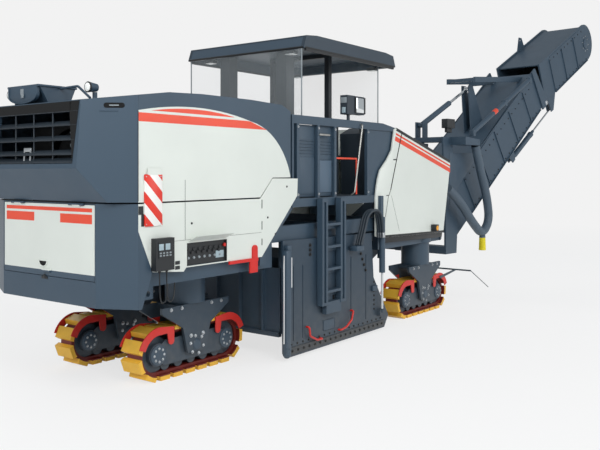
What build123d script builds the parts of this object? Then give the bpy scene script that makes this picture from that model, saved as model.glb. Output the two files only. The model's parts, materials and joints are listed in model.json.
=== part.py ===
"""Cold planer: a tracked road milling machine with a folding discharge conveyor.

Millimetres. +X points forward, towards the discharge conveyor, +Y to the left and +Z up.
The ground is at Z = 0 and the origin is below the middle of the whole machine.
"""
import os
from math import atan2, cos, hypot, pi, radians, sin

from build123d import *

os.makedirs("parts", exist_ok=True)

# General sizes
frame_half_width = 1150.0    # outer faces of the main frame's beams, from the middle plane
half_width = frame_half_width + 80.0   # side skins of the machine
skin = 14.0                  # sheet of the white panels
wall = 45.0                  # hollow wall of a hood or a shell
run_fit = 0.4                # running fit of a pin, a column or a post
seat_gap = 0.3               # between faces of bodies that move against each other
swing_gap = 8.0              # between panels that swing past each other

# Track units
track_length = 1735.0
track_height = 600.0
track_width = 300.0
pad_count = 19
pad_length = 155.0
pad_height = 50.0
chain_thickness = 46.0
chain_width = 200.0
track_units = [
    # name, x of the column, y of the column, x offset of the pointer arm or None
    ("rear_right", -6150.0, -480.0, None),
    ("rear_left", -6150.0, 740.0, None),
    ("front_right", -1180.0, -940.0, 1),
    ("front_left", -1180.0, 940.0, None),
]

# Lifting columns and their sleeves
column_radius = 235.0
sleeve_wall = 30.0
sleeve_bottom = 1200.0
sleeve_tops = (2000.0, 2250.0)
sleeve_radius = column_radius + sleeve_wall
column_top = 1650.0
yoke_top = 830.0
yoke_plate = 35.0

# Tail and hood
tail_x = -7750.0
tail_corner_x = -7550.0
tail_half_width = 820.0
tail_bottom = 1000.0
split_z = 2070.0
bulge_x = -7950.0
bulge_z = 2420.0
hood_front_x = -5040.0
hood_hinge = (-5070.0, 3060.0)
hood_hinge_y = 700.0
hinge_pin_radius = 22.0
door_half_width = 800.0
door_bottom = 1270.0
door_top = 2045.0
door_thickness = 40.0
door_hinge = (-7764.0, 2050.0)
door_knuckle_y = 520.0

# Frame
belly_bottom = 1200.0
belly_plate = 40.0
beam_width = 90.0
rear_box_x = (-7470.0, -5320.0)
middle_box_x = (-5320.0, -2760.0)
front_box_x = (-2760.0, -700.0)
engine_box = (-7100.0, -5420.0, -190.0, 450.0, 2200.0)

# Drum, its housing and its gates
drum_x = -3850.0
drum_z = 620.0
drum_radius = 420.0
pick_tip_radius = 510.0
drum_half_length = 1000.0
pick_rows = 38
cheek_inner_y = 1010.0
cheek_thickness = 50.0
housing_rear_x = -5010.0
housing_front_x = -2900.0
housing_top = 1190.0
housing_sheet = 25.0
side_plate_y = frame_half_width + 30.0
side_plate_thickness = 34.0
side_plate_stroke = 300.0
scraper_x = housing_rear_x - seat_gap
scraper_bottom = 270.0

# Platform and canopy
floor_z = 2040.0
floor_thickness = 60.0
platform_rear_x = -4970.0
platform_front_x = -2620.0
rail_z = 3120.0
canopy_posts = [
    # x of the post, side length of the post
    (-4250.0, 180.0),
    (-3190.0, 80.0),
]
canopy_post_y = 530.0
canopy_top = 4240.0
roof_x = (-4550.0, -2100.0)
roof_half_width = 1080.0
roof_depth = 190.0

# Primary conveyor from the drum up to the discharge point
primary_low = (-2780.0, 560.0)
primary_high = (235.0, 1913.5)
primary_slope = atan2(primary_high[1] - primary_low[1], primary_high[0] - primary_low[0])
primary_bottom = -130.0
primary_seat_x = -825.0

# Front body: its rear edge leans forward
front_rear_edge = ((-2730.0, 1390.0), (-2330.0, 3070.0))
front_sheet = 20.0

# Discharge conveyor
slew_x = 850.0
slew_mount_x = -425.0
mount_bottom = 950.0         # clears the guards of a raised and steered front track
slew_rest = radians(6.0)
conveyor_half_width = 550.0
conveyor_wall = 35.0
conveyor_height = 930.0
lower_slope = radians(36.0)
upper_slope = radians(27.0)
tail_point = (400.0, 1110.0)
lower_length = 4950.0
upper_length = 2860.0
head_radius = 465.0
lift_hinge = (250.0, 1500.0)
lift_ear = (1750.0, 4170.0)
mast_top = (0.0, 3310.0)
slew_pin_radius = 60.0


def side_profile(points, y_low, y_high, base=Plane.XZ, mode=Mode.ADD):
    """Extrude an outline of (x, z) points between two values of y."""
    with BuildSketch(base.offset(-y_high)) as outline:
        with BuildLine():
            Polyline(*points, close=True)
        make_face()
    return extrude(outline.sketch, amount=y_high - y_low, mode=mode)


def both_sides(points, y_low, y_high, base=Plane.XZ, mode=Mode.ADD):
    """Extrude the same outline on the left and on the right of the middle plane."""
    side_profile(points, y_low, y_high, base, mode)
    side_profile(points, -y_high, -y_low, base, mode)


def plan_profile(points, z_low, z_high, mode=Mode.ADD):
    """Extrude an outline of (x, y) points between two heights."""
    with BuildSketch(Plane.XY.offset(z_low)) as outline:
        with BuildLine():
            Polyline(*points, close=True)
        make_face()
    return extrude(outline.sketch, amount=z_high - z_low, mode=mode)


def rectangle(x_low, x_high, z_low, z_high):
    """Corner points of an upright rectangle."""
    return [(x_low, z_low), (x_high, z_low), (x_high, z_high), (x_low, z_high)]


def cross_round(x, z, radius, y_low, y_high, base=Plane.XZ, mode=Mode.ADD):
    """Round bar or bore that runs across the machine."""
    with BuildSketch(base.offset(-y_high)) as outline:
        with Locations((x, z)):
            Circle(radius)
    return extrude(outline.sketch, amount=y_high - y_low, mode=mode)


def upright_round(x, y, radius, z_low, z_high, mode=Mode.ADD):
    """Round bar or bore that stands upright."""
    with BuildSketch(Plane.XY.offset(z_low)) as outline:
        with Locations((x, y)):
            Circle(radius)
    return extrude(outline.sketch, amount=z_high - z_low, mode=mode)


def finish(name, builder):
    """Label a finished piece and write it."""
    builder.part.label = name
    export_step(builder.part, f"parts/{name}.step")


primary_seat_z = (
    primary_low[1]
    + (primary_seat_x - primary_low[0]) * sin(primary_slope) / cos(primary_slope)
    + primary_bottom / cos(primary_slope)
)

# Main frame: belly plate, side beams, cross-members and the four column sleeves
with BuildPart() as main_frame:
    belly_top = belly_bottom + belly_plate
    beam_inner = frame_half_width - beam_width
    rear_plan = [
        (rear_box_x[0], -frame_half_width),
        (rear_box_x[1], -frame_half_width),
        (rear_box_x[1], frame_half_width),
        (rear_box_x[0], frame_half_width),
    ]
    plan_profile(rear_plan, belly_bottom, belly_top)
    beam_tables = [
        # x from, x to, z from, z to
        (rear_box_x[0], rear_box_x[1], belly_top, 1500.0),
        (rear_box_x[1] - beam_width, middle_box_x[1] + beam_width, 1500.0, 1700.0),
        (front_box_x[0], front_box_x[1], belly_bottom, 1330.0),
        (front_box_x[0], front_box_x[0] + beam_width, 1330.0, 1700.0),
    ]
    for x_from, x_to, z_from, z_to in beam_tables:
        both_sides(rectangle(x_from, x_to, z_from, z_to), beam_inner, frame_half_width)
    cross_members = [
        # x middle, z from, z to
        (-5365.0, 1500.0, 1700.0),
        (-2715.0, 1500.0, 1700.0),
        (-4200.0, 1500.0, 1700.0),
        (-2650.0, 1200.0, 1330.0),
        (primary_seat_x + beam_width / 2, 1200.0, primary_seat_z),
    ]
    for x_middle, z_from, z_to in cross_members:
        bar = rectangle(x_middle - beam_width / 2, x_middle + beam_width / 2, z_from, z_to)
        side_profile(bar, -beam_inner, beam_inner)
    for x_post in (-5365.0, -4200.0, -2715.0):
        post = rectangle(x_post - beam_width / 2, x_post + beam_width / 2, 1700.0, floor_z - floor_thickness)
        both_sides(post, beam_inner, frame_half_width)
    for name, column_x, column_y, pointer in track_units:
        upright_round(column_x, column_y, sleeve_radius, sleeve_bottom - 1, sleeve_tops[1] + 1, Mode.SUBTRACT)
    nose_beam = rectangle(front_box_x[1] - 125.0, slew_mount_x, 1200.0, 1290.0)
    both_sides(nose_beam, 470.0, 560.0)
    eye_half = 70.0
    for eye_x in (rear_box_x[0] + 120.0, front_box_x[0] + 120.0):
        eye = rectangle(eye_x - eye_half, eye_x + eye_half, belly_bottom - 130.0, belly_bottom)
        both_sides(eye, frame_half_width - 40.0, frame_half_width)
        for side in (-1, 1):
            centre_y = side * (frame_half_width - 20.0)
            cross_round(eye_x, belly_bottom - 70.0, 30.0, centre_y - 40.0, centre_y + 40.0, mode=Mode.SUBTRACT)
finish("main_frame", main_frame)

# Sleeves that guide the four lifting columns
with BuildPart() as column_sleeves:
    for name, column_x, column_y, pointer in track_units:
        sleeve_top = sleeve_tops[0] if column_x < drum_x else sleeve_tops[1]
        upright_round(column_x, column_y, sleeve_radius, sleeve_bottom, sleeve_top)
        bore = column_radius + run_fit
        upright_round(column_x, column_y, bore, sleeve_bottom - 1, sleeve_top - sleeve_wall, Mode.SUBTRACT)
finish("column_sleeves", column_sleeves)

# Engine and pump drive, one closed block on the belly plate
with BuildPart() as engine_block:
    x_from, x_to, y_from, y_to, z_to = engine_box
    engine_side = [
        (x_from, belly_top),
        (x_to, belly_top),
        (x_to, z_to - 250.0),
        (x_to - 250.0, z_to),
        (x_from, z_to),
    ]
    side_profile(engine_side, y_from, y_to)
finish("engine_block", engine_block)

# Cooler pack behind the rear grille, with the round opening of its fan
cooler_x = (-7455.0, -7200.0)
cooler_half_width = 700.0
cooler_top = 2930.0
with BuildPart() as cooler_pack:
    side_profile(rectangle(cooler_x[0], cooler_x[1], belly_top, cooler_top), -cooler_half_width, cooler_half_width)
    with BuildSketch(Plane.YZ.offset(cooler_x[0])) as fan_ring:
        with Locations((0, 2500.0)):
            Circle(360.0)
            Circle(110.0, mode=Mode.SUBTRACT)
    extrude(fan_ring.sketch, amount=90.0, mode=Mode.SUBTRACT)
finish("cooler_pack", cooler_pack)

# Tail shell: the dark lower rear corner pieces round the rear door
tail_outline = [
    (tail_corner_x + 190.0, -half_width),
    (tail_corner_x, -half_width),
    (tail_x, -tail_half_width),
    (tail_x, tail_half_width),
    (tail_corner_x, half_width),
    (tail_corner_x + 190.0, half_width),
]
tail_inner = [
    (tail_corner_x + 191.0, -half_width + wall),
    (tail_corner_x + 20.0, -half_width + wall),
    (tail_x + wall, -tail_half_width + 25.0),
    (tail_x + wall, tail_half_width - 25.0),
    (tail_corner_x + 20.0, half_width - wall),
    (tail_corner_x + 191.0, half_width - wall),
]
with BuildPart() as tail_shell:
    plan_profile(tail_outline, tail_bottom, split_z - swing_gap)
    plan_profile(tail_inner, tail_bottom - 1, split_z, Mode.SUBTRACT)
    tail_cut = [
        (tail_corner_x, split_z),
        (tail_corner_x, 1790.0),
        (tail_corner_x + 190.0, 1360.0),
        (tail_corner_x + 50.0, tail_bottom),
        (tail_corner_x + 400.0, tail_bottom - 1),
        (tail_corner_x + 400.0, split_z),
    ]
    side_profile(tail_cut, -half_width - 1, half_width + 1, mode=Mode.SUBTRACT)
    with BuildSketch(Plane.YZ.offset(tail_x - 1)) as door_hole:
        with Locations((0, (door_bottom + door_top) / 2)):
            Rectangle(2 * door_half_width + 12.0, door_top - door_bottom + 12.0)
    extrude(door_hole.sketch, amount=wall + 2, mode=Mode.SUBTRACT)
    for side in (-1, 1):
        for offset in (-92.0, 92.0):
            knuckle_y = side * door_knuckle_y + offset
            leaf = rectangle(door_hinge[0], tail_x, door_top + 8.0, door_top + 17.0)
            side_profile(leaf, knuckle_y - 30.0, knuckle_y + 30.0)
            cross_round(*door_hinge, 13.0, knuckle_y - 30.0, knuckle_y + 30.0)
            cross_round(*door_hinge, 6.0 + run_fit, knuckle_y - 31.0, knuckle_y + 31.0, mode=Mode.SUBTRACT)
    floor_tray = [
        (tail_x + wall, -tail_half_width + 25.0),
        (tail_x + wall, tail_half_width - 25.0),
        (rear_box_x[0], frame_half_width),
        (rear_box_x[0], -frame_half_width),
    ]
    plan_profile(floor_tray, belly_bottom, belly_bottom + 20.0)
finish("tail_shell", tail_shell)

# Rear door: a white flap that hangs from its top edge
with BuildPart() as rear_door:
    door_side = rectangle(tail_x, tail_x + door_thickness, door_bottom, door_top)
    side_profile(door_side, -door_half_width, door_half_width)
    handle = rectangle(tail_x - 22.0, tail_x, door_bottom + 40.0, door_bottom + 75.0)
    side_profile(handle, -70.0, 70.0)
    for side in (-1, 1):
        knuckle_y = side * door_knuckle_y
        cross_round(*door_hinge, 13.0, knuckle_y - 60.0, knuckle_y + 60.0)
        leaf = rectangle(door_hinge[0], tail_x, door_top - 20.0, door_top)
        side_profile(leaf, knuckle_y - 60.0, knuckle_y + 60.0)
        cross_round(*door_hinge, 6.0, knuckle_y - 120.0, knuckle_y + 120.0)
finish("rear_door", rear_door)

# White side panels below the hood, one on each side
panel_outline = [
    (-7550.0, split_z - swing_gap),
    (-7550.0, 1790.0),
    (-7360.0, 1360.0),
    (-6920.0, 1320.0),
    (-6880.0, 1360.0),
    (-5610.0, 1360.0),
    (-4900.0, 2080.0),
    (-4890.0, 2300.0),
    (-5400.0, 2305.0),
    (-5638.0, split_z - swing_gap),
]
recess_x = (-6871.0, -6235.0)
recess_z = (1372.0, 1620.0)
chevron_x = (-7436.0, -7245.0)
chevron_z = (1889.0, 2425.0)
chevron_gap = 8.0
with BuildPart() as side_panels:
    both_sides(panel_outline, half_width - skin, half_width)
    stiffener = rectangle(-7300.0, -5700.0, 1400.0, 1500.0)
    both_sides(stiffener, frame_half_width, half_width - skin)
    side_profile(rectangle(*recess_x, *recess_z), -half_width - 1, -half_width + 60.0, mode=Mode.SUBTRACT)
    side_profile(rectangle(*chevron_x, 1930.0, 1990.0), -half_width - chevron_gap, -half_width)
    side_profile(rectangle(*chevron_x, *chevron_z), -half_width - chevron_gap - 4.0, -half_width - chevron_gap)
    flap = Plane(origin=(0, -half_width, recess_z[1] + 12.0), x_dir=(1, 0, 0), z_dir=(0, sin(0.45), cos(0.45)))
    with BuildSketch(flap) as flap_plate:
        with Locations(((recess_x[0] + recess_x[1]) / 2, -75.0)):
            Rectangle(recess_x[1] - recess_x[0] - 40.0, 150.0)
    extrude(flap_plate.sketch, amount=6.0)
finish("side_panels", side_panels)

# Braces from the side panels' front corner down to the frame, on both sides
brace = [(-4900.0, 1930.0), (-4970.0, 1930.0), (-5590.0, 1405.0), (-5590.0, 1370.0), (-5500.0, 1370.0)]
with BuildPart() as frame_braces:
    both_sides(brace, frame_half_width + 2.0, side_plate_y - swing_gap)
    foot_plate = rectangle(-5620.0, -5520.0, 1250.0, 1405.0)
    both_sides(foot_plate, frame_half_width, half_width - skin - 10.0)
finish("frame_braces", frame_braces)

# Control boxes on the right side: the dark one below the chevrons and the one in the recess
with BuildPart() as control_boxes:
    dark_box = rectangle(-7380.0, -7125.0, 1372.0, 1705.0)
    side_profile(dark_box, -half_width - 75.0, -half_width)
    side_profile(rectangle(-7345.0, -7160.0, 1500.0, 1670.0), -half_width - 82.0, -half_width - 75.0)
    tray = rectangle(recess_x[0] + 4.0, recess_x[1] - 4.0, recess_z[0] + 4.0, recess_z[1] - 4.0)
    side_profile(tray, -half_width + 22.0, -half_width + 30.0)
    for edge_x in (recess_x[0], recess_x[1] - 8.0):
        rim = rectangle(edge_x, edge_x + 8.0, recess_z[0] + 4.0, recess_z[1] - 4.0)
        side_profile(rim, -half_width, -half_width + 30.0)
    for button in range(6):
        button_x = recess_x[0] + 90.0 + button * 85.0
        cross_round(button_x, recess_z[0] + 140.0, 18.0, -half_width + 6.0, -half_width + 22.0)
finish("control_boxes", control_boxes)

# Red lock lever with its bar below the side panel, on the right side
with BuildPart() as lock_lever:
    lever_y = (-half_width - 20.0, -half_width)
    side_profile(rectangle(-6210.0, -5700.0, 1325.0, 1362.0), *lever_y)
    side_profile(rectangle(-5800.0, -5710.0, 1190.0, 1470.0), *lever_y)
    cross_round(-5755.0, 1470.0, 45.0, *lever_y)
    side_profile(rectangle(-5850.0, -5800.0, 1190.0, 1325.0), *lever_y)
finish("lock_lever", lock_lever)

# Hood: dark shell, hollow, with the grille mouth and pockets for the white sides
hood_top = [
    (bulge_x + 30.0, 3110.0),
    (-7550.0, 3160.0),
    (-7130.0, 3220.0),
    (-6640.0, 3240.0),
    (-5800.0, 3240.0),
    (-5220.0, 3220.0),
    (hood_front_x, 3150.0),
]
hood_bottom = [
    (hood_front_x, 2315.0),
    (-5404.0, 2315.0),
    (-5642.0, split_z + swing_gap),
    (tail_x, split_z + swing_gap),
    (bulge_x, bulge_z),
]
inner_top = [(x, z - wall) for x, z in hood_top]
mouth_low = (700.0, 2470.0)
mouth_high = (640.0, 3010.0)
mouth_taper = (mouth_low[0] - mouth_high[0]) / (mouth_high[1] - mouth_low[1])
with BuildPart() as hood_shell:
    side_profile(hood_top + hood_bottom, -half_width, half_width)
    inner = [
        (bulge_x + 30.0 + wall, 3110.0 - wall),
        *inner_top[1:-1],
        (hood_front_x + 1, 3150.0 - wall),
        (hood_front_x + 1, 2000.0),
        (tail_x + wall, 2000.0),
        (tail_x + wall, 2130.0),
        (bulge_x + wall, bulge_z + 20.0),
    ]
    side_profile(inner, -half_width + wall, half_width - wall, mode=Mode.SUBTRACT)
    for side in (-1, 1):
        corner = [
            (bulge_x - 5, side * (half_width + 5)),
            (bulge_x - 5, side * (tail_half_width - 60.0)),
            (tail_corner_x, side * half_width),
            (tail_corner_x, side * (half_width + 5)),
        ]
        plan_profile(corner, 2000.0, 3300.0, Mode.SUBTRACT)
        closing = [
            (bulge_x + 60.0, side * (tail_half_width - 60.0)),
            (tail_corner_x, side * (half_width - 3)),
            (tail_corner_x, side * (half_width - wall - 3)),
            (bulge_x + 110.0, side * (tail_half_width - 110.0)),
        ]
        plan_profile(closing, bulge_z, 3070.0)
    with BuildSketch(Plane.YZ.offset(bulge_x - 10)) as mouth:
        with BuildLine():
            Polyline((-mouth_low[0], mouth_low[1]), mouth_low, mouth_high, (-mouth_high[0], mouth_high[1]), close=True)
        make_face()
    extrude(mouth.sketch, amount=wall + 90.0, mode=Mode.SUBTRACT)
    with BuildSketch(Plane.XZ.offset(-half_width)) as white_sketch:
        with BuildLine():
            Line((-7550.0, split_z + swing_gap), (-7550.0, 3005.0))
            ThreePointArc((-7550.0, 3005.0), (-6760.0, 3085.0), (-5800.0, 2980.0))
            ThreePointArc((-5800.0, 2980.0), (-5300.0, 2740.0), (-5045.0, 2330.0))
            Line((-5045.0, 2330.0), (-5045.0, 2315.0))
            Polyline((-5045.0, 2315.0), (-5404.0, 2315.0), (-5642.0, split_z + swing_gap), (-7550.0, split_z + swing_gap))
        make_face()
    extrude(white_sketch.sketch, amount=skin, mode=Mode.SUBTRACT)
    extrude(white_sketch.sketch.mirror(Plane.XZ), amount=skin, mode=Mode.SUBTRACT)
    for side in (-1, 1):
        boss_y = side * hood_hinge_y
        boss = [
            (hood_hinge[0] - 45.0, hood_hinge[1] - 45.0),
            (hood_hinge[0] + 30.0, hood_hinge[1] - 45.0),
            (hood_hinge[0] + 30.0, hood_hinge[1] + 46.0),
            (hood_hinge[0] - 45.0, hood_hinge[1] + 60.0),
        ]
        side_profile(boss, boss_y - 60.0, boss_y + 60.0)
        bore = hinge_pin_radius + run_fit
        cross_round(*hood_hinge, bore, boss_y - 61.0, boss_y + 61.0, mode=Mode.SUBTRACT)
finish("hood_shell", hood_shell)

# White sides of the hood, set into the pockets of the shell
with BuildPart() as hood_sides:
    extrude(white_sketch.sketch, amount=skin)
    extrude(white_sketch.sketch.mirror(Plane.XZ), amount=skin)
finish("hood_sides", hood_sides)

# Air intake box on the tail of the hood, wider at its top
with BuildPart() as air_box:
    box_side = [
        (-7650.0, 3146.5),
        (-7550.0, 3160.0),
        (-7350.0, 3188.6),
        (-7290.0, 3330.0),
        (-7760.0, 3330.0),
    ]
    side_profile(box_side, 120.0, 680.0)
    for lamp_y in (-640.0, 760.0):
        stalk = [(-7640.0, 3148.1), (-7600.0, 3153.5), (-7600.0, 3215.0), (-7640.0, 3215.0)]
        side_profile(stalk, lamp_y - 15.0, lamp_y + 15.0)
        with BuildSketch(Plane.YZ.offset(-7700.0)) as lamp_face:
            with Locations((lamp_y, 3262.0)):
                Circle(55.0)
        extrude(lamp_face.sketch, amount=100.0, taper=8)
    with BuildLine() as rail_line:
        FilletPolyline((-7500.0, 150.0, 3310.0), (-7440.0, -120.0, 3330.0), (-7440.0, -330.0, 3188.5), radius=60.0)
    with BuildSketch(Plane(origin=rail_line.line @ 0, z_dir=rail_line.line % 0)) as rail_section:
        Circle(14.0)
    sweep(rail_section.sketch, path=rail_line.line)
finish("air_box", air_box)

# Rear grille: slats and one upright in the mouth of the hood
with BuildPart() as rear_grille:
    grille_x = bulge_x + 8.0
    slat_rise = 105.0
    for slat in range(5):
        slat_z = 2500.0 + slat * slat_rise
        slat_half = mouth_low[0] - (slat_z + 44.0 - mouth_low[1]) * mouth_taper
        slat_side = [
            (grille_x, slat_z),
            (grille_x + 12.0, slat_z - 14.0),
            (grille_x + 70.0, slat_z + 30.0),
            (grille_x + 58.0, slat_z + 44.0),
        ]
        side_profile(slat_side, -slat_half, slat_half)
    for upright_y in (-330.0, 0.0, 330.0):
        upright = rectangle(grille_x + 20.0, grille_x + 34.0, mouth_low[1], mouth_high[1])
        side_profile(upright, upright_y - 8.0, upright_y + 8.0)
finish("rear_grille", rear_grille)

def front_edge_x(z):
    """Rear edge of the front body's white side at a height."""
    low, high = front_rear_edge
    return low[0] + (z - low[1]) * (high[0] - low[0]) / (high[1] - low[1])


# Operator's platform: floor, rear bulkhead, side walls, rails and the canopy sockets
access_front_x = -3120.0
with BuildPart() as platform:
    floor_plan = [
        (platform_rear_x, -half_width + 30.0),
        (platform_front_x, -half_width + 30.0),
        (platform_front_x, half_width - 30.0),
        (platform_rear_x, half_width - 30.0),
    ]
    plan_profile(floor_plan, floor_z - floor_thickness, floor_z)
    bulkhead = rectangle(platform_rear_x, platform_rear_x + 40.0, floor_z, rail_z)
    side_profile(bulkhead, -half_width + 30.0, half_width - 30.0)
    side_beam = rectangle(platform_rear_x, platform_front_x, floor_z - 110.0, floor_z)
    both_sides(side_beam, half_width - 80.0, half_width - 30.0)
    top_beam = [
        (platform_rear_x + 40.0, rail_z - 110.0),
        (front_edge_x(rail_z - 110.0) - 12.0, rail_z - 110.0),
        (front_edge_x(rail_z - 50.0) - 12.0, rail_z - 50.0),
        (-2700.0, rail_z),
        (platform_rear_x + 40.0, rail_z),
    ]
    both_sides(top_beam, half_width - 80.0, half_width - 30.0)
    console_wall = [
        (access_front_x, floor_z),
        (front_edge_x(floor_z) - 12.0, floor_z),
        (front_edge_x(rail_z - 110.0) - 12.0, rail_z - 110.0),
        (access_front_x, rail_z - 110.0),
    ]
    both_sides(console_wall, half_width - 80.0, half_width - 50.0)
    for side in (-1, 1):
        boss_y = side * hood_hinge_y
        arm = [
            (hood_hinge[0] - 34.0, hood_hinge[1] - 34.0),
            (platform_rear_x, hood_hinge[1] - 90.0),
            (platform_rear_x, hood_hinge[1] - 25.0),
            (hood_hinge[0] + 20.0, hood_hinge[1] + 28.0),
            (hood_hinge[0] - 34.0, hood_hinge[1] + 34.0),
        ]
        side_profile(arm, boss_y + 61.0, boss_y + 81.0)
        side_profile(arm, boss_y - 81.0, boss_y - 61.0)
        cross_round(*hood_hinge, hinge_pin_radius, boss_y - 62.0, boss_y + 62.0)
    for post_x in (-4840.0, -4380.0, -3980.0, access_front_x):
        post = rectangle(post_x - 25.0, post_x + 25.0, floor_z, rail_z - 110.0)
        both_sides(post, half_width - 80.0, half_width - 30.0)
    for post_x, post_side in canopy_posts:
        socket = post_side + 2 * run_fit + 24.0
        for side in (-1, 1):
            with BuildSketch(Plane.XY.offset(floor_z)) as socket_ring:
                with Locations((post_x, side * canopy_post_y)):
                    Rectangle(socket, socket)
                    Rectangle(post_side + 2 * run_fit, post_side + 2 * run_fit, mode=Mode.SUBTRACT)
            extrude(socket_ring.sketch, amount=rail_z - 60.0 - floor_z)
finish("platform", platform)

# Seats and consoles on the platform
with BuildPart() as seats:
    for side in (-1, 1):
        seat_y = side * 900.0
        with BuildSketch(Plane.XZ.offset(-(seat_y + 210.0))) as seat_side:
            with BuildLine():
                Polyline(
                    (-4340.0, 2400.0), (-3860.0, 2400.0), (-3830.0, 2480.0), (-3860.0, 2530.0),
                    (-4230.0, 2500.0), (-4330.0, 2960.0), (-4420.0, 2960.0), close=True,
                )
            make_face()
        extrude(seat_side.sketch, amount=420.0)
        upright_round(-4100.0, seat_y, 70.0, floor_z, 2400.0)
finish("seats", seats)

with BuildPart() as consoles:
    console_side = [
        (-2960.0, floor_z),
        (-2640.0, floor_z),
        (-2640.0, 2990.0),
        (-2740.0, 3060.0),
        (-3000.0, 2960.0),
    ]
    both_sides(console_side, 620.0, half_width - 90.0)
    for side in (-1, 1):
        outer = side * (half_width - 55.0)
        side_profile(rectangle(-3640.0, -3600.0, rail_z, rail_z + 80.0), outer - 15.0, outer + 15.0)
        side_profile(rectangle(-3720.0, -3530.0, rail_z + 80.0, rail_z + 350.0), outer - 50.0, outer + 70.0)
        side_profile(rectangle(-3530.0, -3250.0, rail_z + 90.0, rail_z + 350.0), outer - 40.0, outer + 60.0)
finish("consoles", consoles)

# Canopy: roof, its posts in the sockets, and the rear and front panes
with BuildPart() as canopy_roof:
    roof_side = [
        (roof_x[0], canopy_top - roof_depth),
        (roof_x[0] + 5.0, canopy_top - roof_depth - 10.0),
        (roof_x[1] - 30.0, canopy_top - roof_depth - 10.0),
        (roof_x[1], canopy_top - roof_depth),
        (roof_x[1] - 70.0, canopy_top - 25.0),
        (roof_x[1] - 300.0, canopy_top),
        (roof_x[0] + 300.0, canopy_top),
        (roof_x[0] + 60.0, canopy_top - 25.0),
    ]
    side_profile(roof_side, -roof_half_width, roof_half_width)
    roof_inner = rectangle(roof_x[0] + 60.0, roof_x[1] - 90.0, canopy_top - roof_depth - 11.0, canopy_top - 60.0)
    side_profile(roof_inner, -roof_half_width + 60.0, roof_half_width - 60.0, mode=Mode.SUBTRACT)
finish("canopy_roof", canopy_roof)

post_bottom = rail_z - 60.0 - 130.0
with BuildPart() as canopy_posts_part:
    for post_x, post_side in canopy_posts:
        post = rectangle(post_x - post_side / 2, post_x + post_side / 2, post_bottom, canopy_top - 60.0)
        both_sides(post, canopy_post_y - post_side / 2, canopy_post_y + post_side / 2)
    for post_x, post_side in canopy_posts:
        header = rectangle(post_x - 30.0, post_x + 30.0, canopy_top - 120.0, canopy_top - 60.0)
        side_profile(header, -canopy_post_y + post_side / 2, canopy_post_y - post_side / 2)
finish("canopy_posts", canopy_posts_part)

pane_bottom = rail_z + 15.0
with BuildPart() as canopy_glass:
    pane_top = canopy_top - roof_depth - 10.0
    rear_pane = rectangle(roof_x[0] + 8.0, roof_x[0] + 20.0, pane_bottom, pane_top)
    side_profile(rear_pane, -1030.0, 1030.0)
    front_pane = rectangle(-2512.0, -2500.0, pane_bottom, canopy_top - 60.0)
    side_profile(front_pane, -1000.0, 1000.0)
finish("canopy_glass", canopy_glass)

# Front body: hollow white cover with sloping top, open below for the primary conveyor
front_outline = [
    front_rear_edge[0],
    (-700.0, 1340.0),
    (-430.0, 2500.0),
    (-430.0, 2585.0),
    front_rear_edge[1],
]
with BuildPart() as front_body:
    side_profile(front_outline, -half_width, half_width)
    front_inner = [
        (-2800.0, 1300.0),
        (-760.0, 1300.0),
        (-490.0, 2470.0),
        (-490.0, 2540.0),
        (-2290.0, 3000.0),
        (-2330.0, 3000.0),
        (-2420.0, 2650.0),
        (-2800.0, 2650.0),
    ]
    stays = [(-2500.0, -1480.0), (-880.0, -740.0)]
    side_profile(front_inner, -half_width + front_sheet, half_width - front_sheet, mode=Mode.SUBTRACT)
    side_profile(rectangle(-800.0, -300.0, 1200.0, 2350.0), -460.0, 460.0, mode=Mode.SUBTRACT)
    for x_from, x_to in stays:
        both_sides(rectangle(x_from, x_to, 1300.0, 1420.0), frame_half_width, half_width - front_sheet)
finish("front_body", front_body)

with BuildPart() as front_trim:
    bumper_plan = [
        (-690.0, -half_width + 60.0),
        (-380.0, -half_width + 190.0),
        (-380.0, -560.0),
        (-690.0, -560.0),
    ]
    plan_profile(bumper_plan, 1200.0, 1330.0)
    plan_profile([(x, -y) for x, y in bumper_plan], 1200.0, 1330.0)
finish("front_trim", front_trim)

# Drum housing: cheeks that carry the drum and the sheet over it
with BuildPart() as drum_housing:
    cheek = [
        (housing_rear_x, 300.0),
        (housing_front_x, 420.0),
        (housing_front_x, 1000.0),
        (-3150.0, 1500.0),
        (housing_rear_x, 1500.0),
    ]
    both_sides(cheek, cheek_inner_y, cheek_inner_y + cheek_thickness)
    roof_outer = [
        (housing_rear_x, 900.0),
        (-4400.0, housing_top),
        (-3300.0, housing_top),
        (housing_front_x, 1000.0),
        (housing_front_x, 800.0),
        (housing_front_x - housing_sheet, 800.0),
        (housing_front_x - housing_sheet, 1000.0 - housing_sheet / 2),
        (-3300.0 - 3, housing_top - housing_sheet),
        (-4400.0 + 3, housing_top - housing_sheet),
        (housing_rear_x, 900.0 - housing_sheet),
    ]
    side_profile(roof_outer, -cheek_inner_y, cheek_inner_y)
    front_wall = rectangle(housing_front_x - housing_sheet, housing_front_x, 420.0, 800.0)
    both_sides(front_wall, 390.0, cheek_inner_y)
    for guide_x in (-4900.0, -3250.0):
        guide = rectangle(guide_x - 40.0, guide_x + 40.0, 620.0, 1480.0)
        both_sides(guide, cheek_inner_y + cheek_thickness, side_plate_y - seat_gap)
    for side in (-1, 1):
        y_side = side * (cheek_inner_y + cheek_thickness / 2)
        cross_round(
            drum_x, drum_z, 150.0 + seat_gap, y_side - cheek_thickness, y_side + cheek_thickness,
            mode=Mode.SUBTRACT,
        )
finish("drum_housing", drum_housing)

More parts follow.
